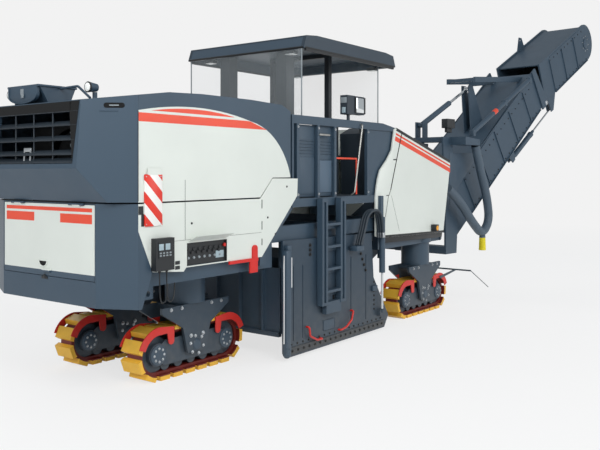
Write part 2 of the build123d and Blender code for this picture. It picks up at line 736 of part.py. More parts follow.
# Milling drum with its picks in two helices that meet in the middle
with BuildPart() as milling_drum:
    cross_round(drum_x, drum_z, drum_radius, -drum_half_length, drum_half_length)
    cross_round(drum_x, drum_z, 150.0, -cheek_inner_y - 45.0, cheek_inner_y + 45.0)
    pick_feet = []
    for row in range(pick_rows):
        for start in range(2):
            share = (row + 0.5) / pick_rows
            pick_y = (drum_half_length - 25.0) * (1 - share)
            for side in (-1, 1):
                turn = 360.0 * 2.2 * share + 180.0 * start + (90.0 if side > 0 else 0.0)
                seat = Plane(
                    origin=(drum_x, side * pick_y, drum_z),
                    x_dir=(0, 1, 0),
                    z_dir=(cos(radians(turn)), 0, sin(radians(turn))),
                )
                with BuildSketch(seat.offset(drum_radius - 15.0)) as pick_foot:
                    Rectangle(46.0, 60.0)
                pick_feet.append(pick_foot.sketch.face())
    extrude(pick_feet, amount=pick_tip_radius - drum_radius + 15.0, taper=9)
finish("milling_drum", milling_drum)

# Float cylinders at the front edge of the side plates
float_x = -2845.0
float_y = half_width + 45.0
float_lug_z = 285.0
float_barrel_z = (880.0, 1710.0)
float_barrel_radius = 45.0
float_rod_radius = 17.0
with BuildPart() as float_barrels:
    for side in (-1, 1):
        upright_round(float_x, side * float_y, float_barrel_radius, *float_barrel_z)
        hanger = rectangle(float_x - 40.0, float_x + 40.0, float_barrel_z[1] - 90.0, floor_z - 15.0)
        y_near = side * (half_width - 30.0)
        side_profile(hanger, min(y_near, side * float_y), max(y_near, side * float_y))
        upright_round(
            float_x, side * float_y, float_rod_radius + run_fit,
            float_barrel_z[0] - 1, float_barrel_z[1] - 60.0, Mode.SUBTRACT,
        )
finish("float_barrels", float_barrels)

# Side plates: one on each side of the drum, sliding upright
side_plate_outline = [
    (-5150.0, 90.0),
    (-5090.0, 30.0),
    (-2680.0, 30.0),
    (-2560.0, 200.0),
    (-2990.0, 820.0),
    (-3050.0, 1480.0),
    (-5180.0, 1520.0),
]
for name, side in (("side_plate_right", -1), ("side_plate_left", 1)):
    with BuildPart() as side_plate:
        inner_face = min(side * side_plate_y, side * (side_plate_y + side_plate_thickness))
        side_profile(side_plate_outline, inner_face, inner_face + side_plate_thickness)
        strip = rectangle(-5080.0, -2700.0, 60.0, 150.0)
        strip_y = side * (side_plate_y + side_plate_thickness)
        side_profile(strip, min(strip_y, strip_y + side * 14.0), max(strip_y, strip_y + side * 14.0))
        lug_y = side * (side_plate_y + side_plate_thickness)
        lug = rectangle(float_x - 60.0, float_x + 60.0, float_lug_z - 45.0, float_lug_z + 45.0)
        side_profile(lug, min(lug_y, side * float_y), max(lug_y, side * float_y))
        cross_round(float_x, float_lug_z, 40.0, min(lug_y, side * float_y), max(lug_y, side * float_y))
        upright_round(float_x, side * float_y, float_rod_radius, float_lug_z, float_barrel_z[1] - side_plate_stroke - 80.0)
        for rib_x in (-4950.0, -4750.0, -3600.0, -3200.0):
            rib = rectangle(rib_x - 12.0, rib_x + 12.0, 230.0, 1180.0)
            side_profile(rib, min(lug_y, lug_y + side * 7.0), max(lug_y, lug_y + side * 7.0))
    finish(name, side_plate)

# Scraper: the rear gate of the drum housing, sliding upright
with BuildPart() as scraper:
    scraper_half = cheek_inner_y + cheek_thickness
    side_profile(rectangle(scraper_x - 34.0, scraper_x, scraper_bottom, 1150.0), -scraper_half, scraper_half)
    for rib_y in (-800.0, -400.0, 0.0, 400.0, 800.0):
        rib = rectangle(scraper_x - 84.0, scraper_x - 34.0, scraper_bottom + 60.0, 1120.0)
        side_profile(rib, rib_y - 15.0, rib_y + 15.0)
    blade = rectangle(scraper_x - 60.0, scraper_x - 34.0, scraper_bottom, scraper_bottom + 60.0)
    side_profile(blade, -scraper_half, scraper_half)
finish("scraper", scraper)

# Lifting columns
yoke_reach = track_width / 2 + 8.0
for name, column_x, column_y, pointer in track_units:
    with BuildPart() as column:
        upright_round(column_x, column_y, column_radius, yoke_top + seat_gap, column_top)
    finish(f"column_{name}", column)

# Track frames: saddle, side frame, wheels, rollers and end guards
wheel_span = track_length - track_height
ring_outer = track_height / 2 - pad_height
ring_inner = ring_outer - chain_thickness
track_z = track_height / 2
cheek_plate_y = (116.0, 132.0)
guard_radii = (232.0, 322.0)
guard_leg = 175.0
pointer_bar = (40.0, 612.0)
pointer_tip = (830.0, 225.0)
pointer_across = (180.0, -470.0)


def add_guard(wheel_x, end, y_low):
    """Red guard over one end of a track: an arched band with a rounded leg towards the middle."""
    lean = radians(20.0)
    inner, outer = guard_radii
    with BuildSketch(Plane.XZ.offset(-(y_low + 12.0))) as guard:
        with BuildLine():
            leg_x = wheel_x - end * guard_leg
            inner_end = (wheel_x + end * inner * cos(lean), track_z + inner * sin(lean))
            outer_end = (wheel_x + end * outer * cos(lean), track_z + outer * sin(lean))
            half_lean = (pi / 2 + lean) / 2
            outer_mid = (wheel_x + end * outer * cos(half_lean), track_z + outer * sin(half_lean))
            inner_mid = (wheel_x + end * inner * cos(half_lean), track_z + inner * sin(half_lean))
            ThreePointArc(outer_end, outer_mid, (wheel_x, track_z + outer))
            Line((wheel_x, track_z + outer), (leg_x - end * 45.0, track_z + outer - 25.0))
            Line((leg_x - end * 45.0, track_z + outer - 25.0), (leg_x - end * 45.0, 440.0))
            ThreePointArc((leg_x - end * 45.0, 440.0), (leg_x, 395.0), (leg_x + end * 45.0, 440.0))
            Line((leg_x + end * 45.0, 440.0), (leg_x + end * 60.0, track_z + inner))
            Line((leg_x + end * 60.0, track_z + inner), (wheel_x, track_z + inner))
            ThreePointArc((wheel_x, track_z + inner), inner_mid, inner_end)
            Line(inner_end, outer_end)
        make_face()
    extrude(guard.sketch, amount=12.0)


for name, column_x, column_y, pointer in track_units:
    with BuildPart() as track_frame:
        saddle = [
            (column_x - 560.0, yoke_top - 70.0),
            (column_x - 230.0, 560.0),
            (column_x - 150.0, 250.0),
            (column_x + 150.0, 250.0),
            (column_x + 230.0, 560.0),
            (column_x + 560.0, yoke_top - 70.0),
            (column_x + 560.0, yoke_top),
            (column_x - 560.0, yoke_top),
        ]
        for y_low in (column_y - yoke_reach - yoke_plate, column_y + yoke_reach):
            side_profile(saddle, y_low, y_low + yoke_plate)
        saddle_top = rectangle(column_x - 300.0, column_x + 300.0, yoke_top - 60.0, yoke_top)
        side_profile(saddle_top, column_y - yoke_reach, column_y + yoke_reach)
        side_beam = rectangle(column_x - wheel_span / 2, column_x + wheel_span / 2, 190.0, 400.0)
        side_profile(side_beam, column_y - 60.0, column_y + 60.0)
        cross_round(column_x, track_z, 90.0, column_y - yoke_reach, column_y + yoke_reach)
        for wheel_x in (column_x - wheel_span / 2, column_x + wheel_span / 2):
            cross_round(wheel_x, track_z, ring_inner - seat_gap, column_y - 70.0, column_y + 70.0)
            cross_round(wheel_x, track_z, 130.0, column_y - 135.0, column_y + 135.0)
        for roller in range(-2, 3):
            roller_x = column_x + roller * 210.0
            roller_z = track_z - ring_inner + 70.0 + seat_gap
            cross_round(roller_x, roller_z, 70.0, column_y - 90.0, column_y + 90.0)
        cheek_plate = [
            (column_x - wheel_span / 2 + 40.0, 215.0),
            (column_x - wheel_span / 2 + 90.0, 165.0),
            (column_x + wheel_span / 2 - 90.0, 165.0),
            (column_x + wheel_span / 2 - 40.0, 215.0),
            (column_x + wheel_span / 2 - 40.0, 400.0),
            (column_x + wheel_span / 2 - 120.0, 455.0),
            (column_x - wheel_span / 2 + 120.0, 455.0),
            (column_x - wheel_span / 2 + 40.0, 400.0),
        ]
        for y_low in (column_y - cheek_plate_y[1], column_y + cheek_plate_y[0]):
            side_profile(cheek_plate, y_low, y_low + cheek_plate_y[1] - cheek_plate_y[0])
        for y_low in (column_y - yoke_reach - 12.0, column_y + yoke_reach):
            for end in (-1, 1):
                add_guard(column_x + end * wheel_span / 2, end, y_low)
        for y_low in (column_y - yoke_reach, column_y + cheek_plate_y[1]):
            for end in (-1, 1):
                leg_x = column_x + end * (wheel_span / 2 - guard_leg)
                link = rectangle(leg_x - 28.0, leg_x + 28.0, 405.0, 448.0)
                side_profile(link, y_low, y_low + yoke_reach - cheek_plate_y[1])
        if pointer:
            pointer_y = column_y + pointer_across[0]
            arm_points = [
                (column_x + wheel_span / 2 - 20.0, 560.0),
                (column_x + wheel_span / 2 + 40.0, 520.0),
                (pointer_bar[0], pointer_bar[1] - 14.0),
                (pointer_bar[0], pointer_bar[1] + 14.0),
            ]
            side_profile(arm_points, column_y - yoke_reach - 24.0, column_y - yoke_reach - 12.0)
            cross_round(*pointer_bar, 14.0, column_y + pointer_across[1], pointer_y)
            rod_points = [
                (pointer_bar[0], pointer_bar[1] - 5.0),
                (pointer_tip[0], pointer_tip[1] - 5.0),
                (pointer_tip[0], pointer_tip[1] + 5.0),
                (pointer_bar[0], pointer_bar[1] + 5.0),
            ]
            side_profile(rod_points, column_y + pointer_across[1], column_y + pointer_across[1] + 10.0)
    finish(f"track_frame_{name}", track_frame)


def track_point(distance, radius):
    """Point and heading on the upright loop that lies a radius outside the wheel centres."""
    arc = pi * ring_outer
    total = 2 * (wheel_span + arc)
    distance = distance % total
    half = wheel_span / 2
    if distance < wheel_span:
        return (-half + distance, -radius, 0.0)
    if distance < wheel_span + arc:
        turn = (distance - wheel_span) / ring_outer
        return (half + radius * sin(turn), -radius * cos(turn), turn)
    if distance < 2 * wheel_span + arc:
        return (half - (distance - wheel_span - arc), radius, pi)
    turn = (distance - 2 * wheel_span - arc) / ring_outer
    return (-half - radius * sin(turn), radius * cos(turn), turn + pi)


# Track loops: the chain ring and its pads
loop_length = 2 * (wheel_span + pi * ring_outer)
pad_pitch = loop_length / pad_count
for name, column_x, column_y, pointer in track_units:
    with BuildPart() as track_belt:
        with BuildSketch(Plane.XZ.offset(-(column_y + chain_width / 2))) as ring_sketch:
            with Locations((column_x, track_z)):
                SlotOverall(wheel_span + 2 * ring_outer, 2 * ring_outer)
                SlotOverall(wheel_span + 2 * ring_inner, 2 * ring_inner, mode=Mode.SUBTRACT)
        extrude(ring_sketch.sketch, amount=chain_width)
        with BuildSketch(Plane.XZ.offset(-(column_y + track_width / 2))) as pad_sketch:
            for pad in range(pad_count):
                x_mid, z_mid, heading = track_point((pad + 0.5) * pad_pitch, ring_outer)
                along_x, along_z = cos(heading), sin(heading)
                corners = [(-0.5, -14.0), (0.5, -14.0), (0.46, pad_height), (-0.46, pad_height)]
                pad_points = [
                    (
                        column_x + x_mid + along_x * share * pad_length + along_z * rise,
                        track_z + z_mid + along_z * share * pad_length - along_x * rise,
                    )
                    for share, rise in corners
                ]
                with BuildLine():
                    Polyline(*pad_points, close=True)
                make_face()
        extrude(pad_sketch.sketch, amount=track_width)
        ground = rectangle(column_x - track_length, column_x + track_length, -50.0, 0.0)
        side_profile(ground, column_y - track_width, column_y + track_width, mode=Mode.SUBTRACT)
    finish(f"track_belt_{name}", track_belt)

# Primary conveyor: trough from the drum up to the discharge point
with BuildPart() as primary_conveyor:
    run = hypot(primary_high[0] - primary_low[0], primary_high[1] - primary_low[1])
    primary_plane = Plane(
        origin=(primary_low[0], 0, primary_low[1]),
        x_dir=(cos(primary_slope), 0, sin(primary_slope)),
        z_dir=(0, -1, 0),
    )
    both_sides(rectangle(0, run, primary_bottom, 260.0), 375.0, 400.0, primary_plane)
    side_profile(rectangle(0, run, primary_bottom, primary_bottom + 25.0), -375.0, 375.0, primary_plane)
    side_profile(rectangle(0, run, 60.0, 72.0), -375.0, 375.0, primary_plane)
finish("primary_conveyor", primary_conveyor)

# Slewing mount on the nose of the machine
with BuildPart() as slew_mount:
    mount_x = slew_mount_x
    column_outline = [
        (mount_x, 1200.0),
        (mount_x + 120.0, 1200.0),
        (mount_x + 120.0, 2900.0),
        (mount_x, 2900.0),
    ]
    both_sides(column_outline, 470.0, 560.0)
    for z_low, z_high in ((mount_bottom, mount_bottom + 90.0), (2850.0, 2940.0)):
        arm_plan = [
            (mount_x, -560.0),
            (mount_x + 150.0, -560.0),
            (mount_x + 605.0, -150.0),
            (slew_x + 60.0, -120.0),
            (slew_x + 110.0, 0.0),
            (slew_x + 60.0, 120.0),
            (mount_x + 605.0, 150.0),
            (mount_x + 150.0, 560.0),
            (mount_x, 560.0),
        ]
        plan_profile(arm_plan, z_low, z_high)
        upright_round(slew_x, 0, slew_pin_radius + run_fit, z_low - 1, z_high + 1, Mode.SUBTRACT)
    both_sides(rectangle(mount_x, mount_x + 120.0, mount_bottom + 90.0, 1200.0), 470.0, 560.0)
finish("slew_mount", slew_mount)

# Slewing frame: yoke plates, bridges and pins
conveyor_plane = Plane(
    origin=(slew_x, 0, 0),
    x_dir=(cos(slew_rest), -sin(slew_rest), 0),
    z_dir=(-sin(slew_rest), -cos(slew_rest), 0),
)
yoke_inner = conveyor_half_width + 10.0
with BuildPart() as slew_frame:
    yoke_side = [
        (-60.0, 790.0),
        (330.0, 790.0),
        (380.0, 1500.0),
        (160.0, 3060.0),
        (-160.0, 3060.0),
        (-60.0, 1500.0),
    ]
    both_sides(yoke_side, yoke_inner, yoke_inner + 40.0, conveyor_plane)
    side_profile(rectangle(-100.0, 160.0, 2960.0, 3060.0), -yoke_inner, yoke_inner, conveyor_plane)
    side_profile(rectangle(-60.0, 200.0, 790.0, mount_bottom - 15.0), -yoke_inner, yoke_inner, conveyor_plane)
    both_sides(rectangle(-80.0, 80.0, 3060.0, 3370.0), 70.0, 95.0, conveyor_plane)
    upright_round(slew_x, 0, slew_pin_radius, 2860.0, 2961.0)
    upright_round(slew_x, 0, slew_pin_radius, mount_bottom - 16.0, mount_bottom + 85.0)
    duct = [(100.0, 2904.4), (640.0, 2904.4), (640.0, 3020.0), (100.0, 3060.0)]
    side_profile(duct, -940.0, -yoke_inner - 40.0, conveyor_plane)
    for y_low in (-yoke_inner, yoke_inner - 44.0):
        cross_round(lift_hinge[0], lift_hinge[1], 40.0, y_low, y_low + 44.0, conveyor_plane)
    cross_round(mast_top[0], mast_top[1], 25.0, -71.0, 71.0, conveyor_plane)
finish("slew_frame", slew_frame)


def along(start, slope, distance, rise=0.0):
    """Point that lies a distance up a slope from a start, and a rise square to it."""
    return (
        start[0] + distance * cos(slope) - rise * sin(slope),
        start[1] + distance * sin(slope) + rise * cos(slope),
    )


def band(start, slope, from_distance, to_distance, low, high):
    """Corner points of a strip that runs up a slope."""
    return [
        along(start, slope, from_distance, low),
        along(start, slope, to_distance, low),
        along(start, slope, to_distance, high),
        along(start, slope, from_distance, high),
    ]


def both_sides_round(x, z, radius, y_low, y_high, mode=Mode.ADD):
    """Round bars or bores on both sides of the conveyor."""
    cross_round(x, z, radius, y_low, y_high, conveyor_plane, mode)
    cross_round(x, z, radius, -y_high, -y_low, conveyor_plane, mode)


fold_point = along(tail_point, lower_slope, lower_length)
fold_gap = 70.0
fold_pin_radius = 30.0
fold_eye_radius = 60.0
fold_cylinder_y = 470.0
fold_anchor = along(tail_point, lower_slope, 2900.0, -190.0)
fold_lever = along(fold_point, upper_slope, 330.0, -300.0)
eye_pin_radius = 22.0
wall_y = (conveyor_half_width - conveyor_wall, conveyor_half_width)
upper_wall_y = wall_y[1] - 0.5
with BuildPart() as conveyor_lower:
    lower_wall = [
        along(tail_point, lower_slope, 0),
        along(tail_point, lower_slope, lower_length - fold_gap),
        along(tail_point, lower_slope, lower_length - fold_gap - 80.0, conveyor_height),
        along(tail_point, lower_slope, 0, conveyor_height - 150.0),
    ]
    both_sides(lower_wall, wall_y[0], wall_y[1], conveyor_plane)
    pan = band(tail_point, lower_slope, 60.0, lower_length - 120.0, 20.0, 45.0)
    side_profile(pan, -wall_y[0], wall_y[0], conveyor_plane)
    cover = band(tail_point, lower_slope, 1500.0, lower_length - 180.0, conveyor_height - 60.0, conveyor_height - 35.0)
    side_profile(cover, -wall_y[0], wall_y[0], conveyor_plane)
    ear_plate = [
        along(tail_point, lower_slope, 2300.0, conveyor_height - 120.0),
        along(tail_point, lower_slope, 2900.0, conveyor_height - 120.0),
        (lift_ear[0] + 90.0, lift_ear[1] + 70.0),
        (lift_ear[0] - 70.0, lift_ear[1] + 70.0),
        (lift_ear[0] - 70.0, lift_ear[1] - 70.0),
    ]
    both_sides(ear_plate, 70.0, 95.0, conveyor_plane)
    for y_low in (-wall_y[1], wall_y[0]):
        cross_round(
            lift_hinge[0], lift_hinge[1], 40.0 + run_fit, y_low - 1, y_low + conveyor_wall + 1,
            conveyor_plane, Mode.SUBTRACT,
        )
    for rib_share in (0.18, 0.34, 0.50, 0.66, 0.82):
        rib = rib_share * lower_length
        rib_band = band(tail_point, lower_slope, rib, rib + 14.0, 12.0, conveyor_height - 110.0)
        both_sides(rib_band, wall_y[1], wall_y[1] + 22.0, conveyor_plane)
    lower_flange = band(tail_point, lower_slope, 560.0, lower_length - 320.0, 0, 12.0)
    both_sides(lower_flange, wall_y[1], wall_y[1] + 28.0, conveyor_plane)
    beam_end = along(fold_point, lower_slope, -541.0, conveyor_height - 17.0)
    top_beam = [
        (lift_ear[0] - 250.0, lift_ear[1] + 100.0),
        beam_end,
        (beam_end[0] + 210.0, beam_end[1] + 130.0),
        (lift_ear[0] - 250.0, lift_ear[1] + 215.0),
    ]
    both_sides(top_beam, 300.0, 350.0, conveyor_plane)
    for bar_low, bar_high in ((1500.0, 1580.0), (2350.0, 2410.0)):
        cross_bar = rectangle(bar_low, bar_high, 4300.0, 4370.0)
        side_profile(cross_bar, -300.0, 300.0, conveyor_plane)
    for roller in (1200.0, 2200.0, 3700.0):
        centre = along(tail_point, lower_slope, roller, -50.0)
        cross_round(*centre, 42.0, -400.0, 400.0, conveyor_plane)
        hanger = band(tail_point, lower_slope, roller - 30.0, roller + 30.0, -75.0, 25.0)
        both_sides(hanger, 400.0, 412.0, conveyor_plane)
    end_post = [
        along(tail_point, lower_slope, lower_length - 240.0, -40.0),
        along(fold_point, lower_slope, 60.0, -60.0),
        along(fold_point, lower_slope, 60.0, 80.0),
        along(fold_point, lower_slope, -60.0, conveyor_height + 30.0),
        along(fold_point, lower_slope, -240.0, conveyor_height + 30.0),
    ]
    both_sides(end_post, wall_y[1], wall_y[1] + 36.0, conveyor_plane)
    both_sides_round(*fold_point, fold_pin_radius, wall_y[0] - 12.0, wall_y[1] + 1.0)
    anchor_plate = [
        along(tail_point, lower_slope, 2750.0, 30.0),
        along(tail_point, lower_slope, 2840.0, -240.0),
        along(tail_point, lower_slope, 2960.0, -240.0),
        along(tail_point, lower_slope, 3050.0, 30.0),
    ]
    for offset in (-60.0, 35.0):
        both_sides(anchor_plate, fold_cylinder_y + offset, fold_cylinder_y + offset + 25.0, conveyor_plane)
    both_sides_round(*fold_anchor, eye_pin_radius, fold_cylinder_y - 40.0, fold_cylinder_y + 40.0)
finish("conveyor_lower", conveyor_lower)

# Belt of the lower section, one loop round its two pulleys
belt_half = 430.0
belt_sheet = 14.0
belt_radius = 110.0
belt_rise = 330.0


def belt_loop(start, slope, from_distance, to_distance, pulley_y):
    """Belt loop and its end pulleys, as wide as the gap between the walls."""
    slope_plane = Plane(
        origin=conveyor_plane.from_local_coords(Vector(start[0], start[1], belt_half)),
        x_dir=conveyor_plane.from_local_coords(Vector(cos(slope), sin(slope), 0)) - conveyor_plane.origin,
        z_dir=conveyor_plane.z_dir,
    )
    middle = (from_distance + to_distance) / 2
    span = to_distance - from_distance
    with BuildSketch(slope_plane.offset(-2 * belt_half)) as loop:
        with Locations((middle, belt_rise)):
            SlotOverall(span, 2 * belt_radius)
            SlotOverall(span - 2 * belt_sheet, 2 * (belt_radius - belt_sheet), mode=Mode.SUBTRACT)
    extrude(loop.sketch, amount=2 * belt_half)
    for pulley in (from_distance + belt_radius, to_distance - belt_radius):
        with BuildSketch(slope_plane.offset(-belt_half - pulley_y)) as drum_end:
            with Locations((pulley, belt_rise)):
                Circle(belt_radius - belt_sheet)
        extrude(drum_end.sketch, amount=2 * pulley_y)


with BuildPart() as belt_lower:
    belt_loop(tail_point, lower_slope, 60.0, lower_length - 90.0, wall_y[0])
finish("belt_lower", belt_lower)

# Upper section: walls with the round head, pan, cover and the fold hinge
upper_start = 40.0
with BuildPart() as conveyor_upper:
    for y_high in (upper_wall_y, -upper_wall_y + conveyor_wall):
        with BuildSketch(conveyor_plane.offset(-y_high)) as upper_wall:
            with BuildLine():
                first = along(fold_point, upper_slope, upper_start)
                second = along(fold_point, upper_slope, upper_length)
                middle = along(fold_point, upper_slope, upper_length + head_radius, head_radius)
                third = along(fold_point, upper_slope, upper_length, 2 * head_radius)
                fourth = along(fold_point, upper_slope, upper_start + 60.0, 2 * head_radius)
                Line(first, second)
                ThreePointArc(second, middle, third)
                Line(third, fourth)
                Line(fourth, first)
            make_face()
            with Locations(fold_point):
                Circle(fold_eye_radius)
                Circle(fold_pin_radius + run_fit, mode=Mode.SUBTRACT)
        extrude(upper_wall.sketch, amount=conveyor_wall)
    inner_y = upper_wall_y - conveyor_wall
    pan = band(fold_point, upper_slope, 120.0, upper_length, 20.0, 45.0)
    side_profile(pan, -inner_y, inner_y, conveyor_plane)
    cover = band(fold_point, upper_slope, 160.0, upper_length, conveyor_height - 60.0, conveyor_height - 35.0)
    side_profile(cover, -inner_y, inner_y, conveyor_plane)
    for rib in (640.0, 1400.0, 2160.0):
        rib_band = band(fold_point, upper_slope, rib, rib + 14.0, 12.0, conveyor_height - 90.0)
        both_sides(rib_band, upper_wall_y, upper_wall_y + 22.0, conveyor_plane)
    upper_flange = band(fold_point, upper_slope, 640.0, upper_length - 60.0, 0, 12.0)
    both_sides(upper_flange, upper_wall_y, upper_wall_y + 28.0, conveyor_plane)
    ear_foot = along(fold_point, upper_slope, 1290.0, 892.0)
    lifting_ear = [
        ear_foot,
        (ear_foot[0] + 90.0, ear_foot[1] + 400.0),
        (ear_foot[0] + 230.0, ear_foot[1] + 400.0),
        (ear_foot[0] + 370.0, ear_foot[1] + 200.0),
    ]
    side_profile(lifting_ear, upper_wall_y - 20.0, upper_wall_y, conveyor_plane)
    cross_round(ear_foot[0] + 160.0, ear_foot[1] + 335.0, 28.0, upper_wall_y - 21.0, upper_wall_y + 1, conveyor_plane, Mode.SUBTRACT)
    for roller in (1000.0, 2100.0):
        centre = along(fold_point, upper_slope, roller, -50.0)
        cross_round(*centre, 42.0, -400.0, 400.0, conveyor_plane)
        hanger = band(fold_point, upper_slope, roller - 30.0, roller + 30.0, -75.0, 25.0)
        both_sides(hanger, 400.0, 412.0, conveyor_plane)
    lever_plate = [
        along(fold_point, upper_slope, 200.0, 30.0),
        along(fold_point, upper_slope, 270.0, -350.0),
        along(fold_point, upper_slope, 390.0, -350.0),
        along(fold_point, upper_slope, 700.0, 30.0),
    ]
    for offset in (-60.0, 35.0):
        both_sides(lever_plate, fold_cylinder_y + offset, fold_cylinder_y + offset + 25.0, conveyor_plane)
finish("conveyor_upper", conveyor_upper)

with BuildPart() as belt_upper:
    belt_loop(fold_point, upper_slope, 100.0, upper_length + 250.0, upper_wall_y - conveyor_wall)
finish("belt_upper", belt_upper)


def cylinder_part(start, end, from_distance, to_distance, radius, y_middle, bore=None, bore_from=0.0):
    """Round cylinder tube or rod on the line between two pins of the conveyor plane."""
    length = hypot(end[0] - start[0], end[1] - start[1])
    heading = ((end[0] - start[0]) / length, (end[1] - start[1]) / length)
    foot = conveyor_plane.from_local_coords(
        Vector(start[0] + heading[0] * from_distance, start[1] + heading[1] * from_distance, -y_middle)
    )
    direction = conveyor_plane.from_local_coords(Vector(heading[0], heading[1], 0)) - conveyor_plane.origin
    tube = Plane(origin=foot, x_dir=-conveyor_plane.z_dir, z_dir=direction)
    with BuildSketch(tube) as section:
        Circle(radius)
    extrude(section.sketch, amount=to_distance - from_distance)
    if bore:
        with BuildSketch(tube.offset(bore_from - from_distance)) as hollow:
            Circle(bore)
        extrude(hollow.sketch, amount=to_distance - bore_from + 1, mode=Mode.SUBTRACT)


def eye_ring(centre, outer, bore, y_low, y_high):
    """Eye of a cylinder round its pin."""
    with BuildSketch(conveyor_plane.offset(-y_high)) as eye:
        with Locations(centre):
            Circle(outer)
            Circle(bore, mode=Mode.SUBTRACT)
    extrude(eye.sketch, amount=y_high - y_low)


# Lift cylinder between the mast and the ear of the lower section
lift_span = hypot(lift_ear[0] - mast_top[0], lift_ear[1] - mast_top[1])
rod_radius = 28.0
with BuildPart() as lift_barrel:
    cylinder_part(mast_top, lift_ear, 36.0, 1150.0, 55.0, 0, rod_radius + run_fit, 70.0)
    eye_ring(mast_top, 50.0, 25.0 + run_fit, -45.0, 45.0)
finish("lift_barrel", lift_barrel)

with BuildPart() as lift_rod:
    cylinder_part(mast_top, lift_ear, 260.0, lift_span - 36.0, rod_radius, 0)
    cross_round(lift_ear[0], lift_ear[1], 48.0, -45.0, 45.0, conveyor_plane)
    cross_round(lift_ear[0], lift_ear[1], 25.0, -66.0, 66.0, conveyor_plane)
finish("lift_rod", lift_rod)

# Fold cylinders: a pair below the conveyor
fold_span = hypot(fold_lever[0] - fold_anchor[0], fold_lever[1] - fold_anchor[1])
fold_barrel_length = 1250.0
with BuildPart() as fold_barrels:
    for side in (-1, 1):
        y_middle = side * fold_cylinder_y
        eye_ring(fold_anchor, 44.0, eye_pin_radius + run_fit, y_middle - 33.0, y_middle + 33.0)
        cylinder_part(
            fold_anchor, fold_lever, 32.0, fold_barrel_length, 33.0, y_middle, 20.0 + run_fit, 60.0
        )
finish("fold_barrels", fold_barrels)

with BuildPart() as fold_rods:
    for side in (-1, 1):
        y_middle = side * fold_cylinder_y
        cross_round(*fold_lever, 40.0, y_middle - 28.0, y_middle + 28.0, conveyor_plane)
        cylinder_part(fold_anchor, fold_lever, 780.0, fold_span - 30.0, 20.0, y_middle)
finish("fold_rods", fold_rods)

# Suction hose with its drain sleeve, from the slewing frame down and back to the nose
hose_radius = 85.0
hose_points = [
    (1400.0, -900.0, 2900.0),
    (1640.0, -900.0, 2420.0),
    (1960.0, -905.0, 1860.0),
    (2080.0, -905.0, 1380.0),
    (1720.0, -900.0, 1120.0),
    (1290.0, -880.0, 1400.0),
    (850.0, -840.0, 1790.0),
    (380.0, -800.0, 2070.0),
]
with BuildPart() as suction_hose:
    runs = [hypot(*(b - a for a, b in zip(p, q))) for p, q in zip(hose_points, hose_points[1:])]
    bends = []
    for before, here, after, run_in, run_out in zip(hose_points, hose_points[1:], hose_points[2:], runs, runs[1:]):
        turn = (Vector(here) - Vector(before)).get_angle(Vector(after) - Vector(here))
        half_tangent = sin(radians(turn / 2)) / cos(radians(turn / 2))
        bends.append(0.45 * min(run_in, run_out) / half_tangent)
    with BuildLine() as hose_line:
        FilletPolyline(*hose_points, radius=bends)
    with BuildSketch(Plane(origin=hose_line.line @ 0, z_dir=hose_line.line % 0)) as hose_section:
        Circle(hose_radius)
    sweep(hose_section.sketch, path=hose_line.line)
    with BuildSketch(Plane.XY.offset(1110.0)) as sleeve_top_section:
        with Locations((1740.0, -900.0)):
            Circle(60.0)
    extrude(sleeve_top_section.sketch, amount=-300.0, taper=-2)
finish("suction_hose", suction_hose)

# Access ladders: two stout posts with steps between them, hung from the platform
ladder_posts = (-4385.0, -3945.0)
ladder_post_side = 130.0
ladder_face_y = (side_plate_y + side_plate_thickness + swing_gap, half_width + 80.0)
ladder_bottom = 600.0
with BuildPart() as ladders:
    for side in (-1, 1):
        y_low = min(side * ladder_face_y[0], side * ladder_face_y[1])
        y_high = max(side * ladder_face_y[0], side * ladder_face_y[1])
        for post_x in ladder_posts:
            post = rectangle(post_x - 65.0, post_x + 65.0, ladder_bottom, floor_z - 10.0)
            side_profile(post, y_low, y_high)
            groove = rectangle(post_x - 25.0, post_x + 25.0, ladder_bottom + 40.0, floor_z - 60.0)
            side_profile(
                groove, *sorted((side * ladder_face_y[1], side * (ladder_face_y[1] - 25.0))), mode=Mode.SUBTRACT
            )
            shoe = rectangle(post_x - 40.0, post_x + 40.0, floor_z - 90.0, floor_z - 10.0)
            side_profile(shoe, *sorted((side * (half_width - 30.0), side * ladder_face_y[0])))
        inside = (ladder_posts[0] + ladder_post_side / 2, ladder_posts[1] - ladder_post_side / 2)
        for step in range(4):
            step_z = 760.0 + 300.0 * step
            side_profile(rectangle(*inside, step_z, step_z + 35.0), y_low, y_high)
            riser = rectangle(*inside, step_z - 50.0, step_z)
            side_profile(riser, *sorted((side * ladder_face_y[0], side * (ladder_face_y[0] + 8.0))))
        foot = rectangle(inside[0], inside[1], 480.0, 640.0)
        side_profile(foot, y_low + 10.0, y_high - 10.0)
        for strut_x in inside:
            strut = rectangle(strut_x - 22.0, strut_x + 22.0, 480.0, ladder_bottom + 30.0)
            side_profile(strut, y_low + 10.0, y_high - 10.0)
finish("ladders", ladders)
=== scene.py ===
"""Looks of a cold planer: finishes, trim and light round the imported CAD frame.

Each sub-assembly is a class whose fields are its sizes in metres and whose methods build its
meshes and dress its CAD nodes. Each finish is a small frozen dataclass that makes one material.
The frame is the CAD one: +X forward, +Y left, +Z up, ground at zero.
"""

import json
import logging
from collections.abc import Sequence
from dataclasses import dataclass
from enum import Enum
from math import cos, pi, radians, sin
from typing import Protocol

import bmesh
import bpy
from mathutils import Matrix, Vector


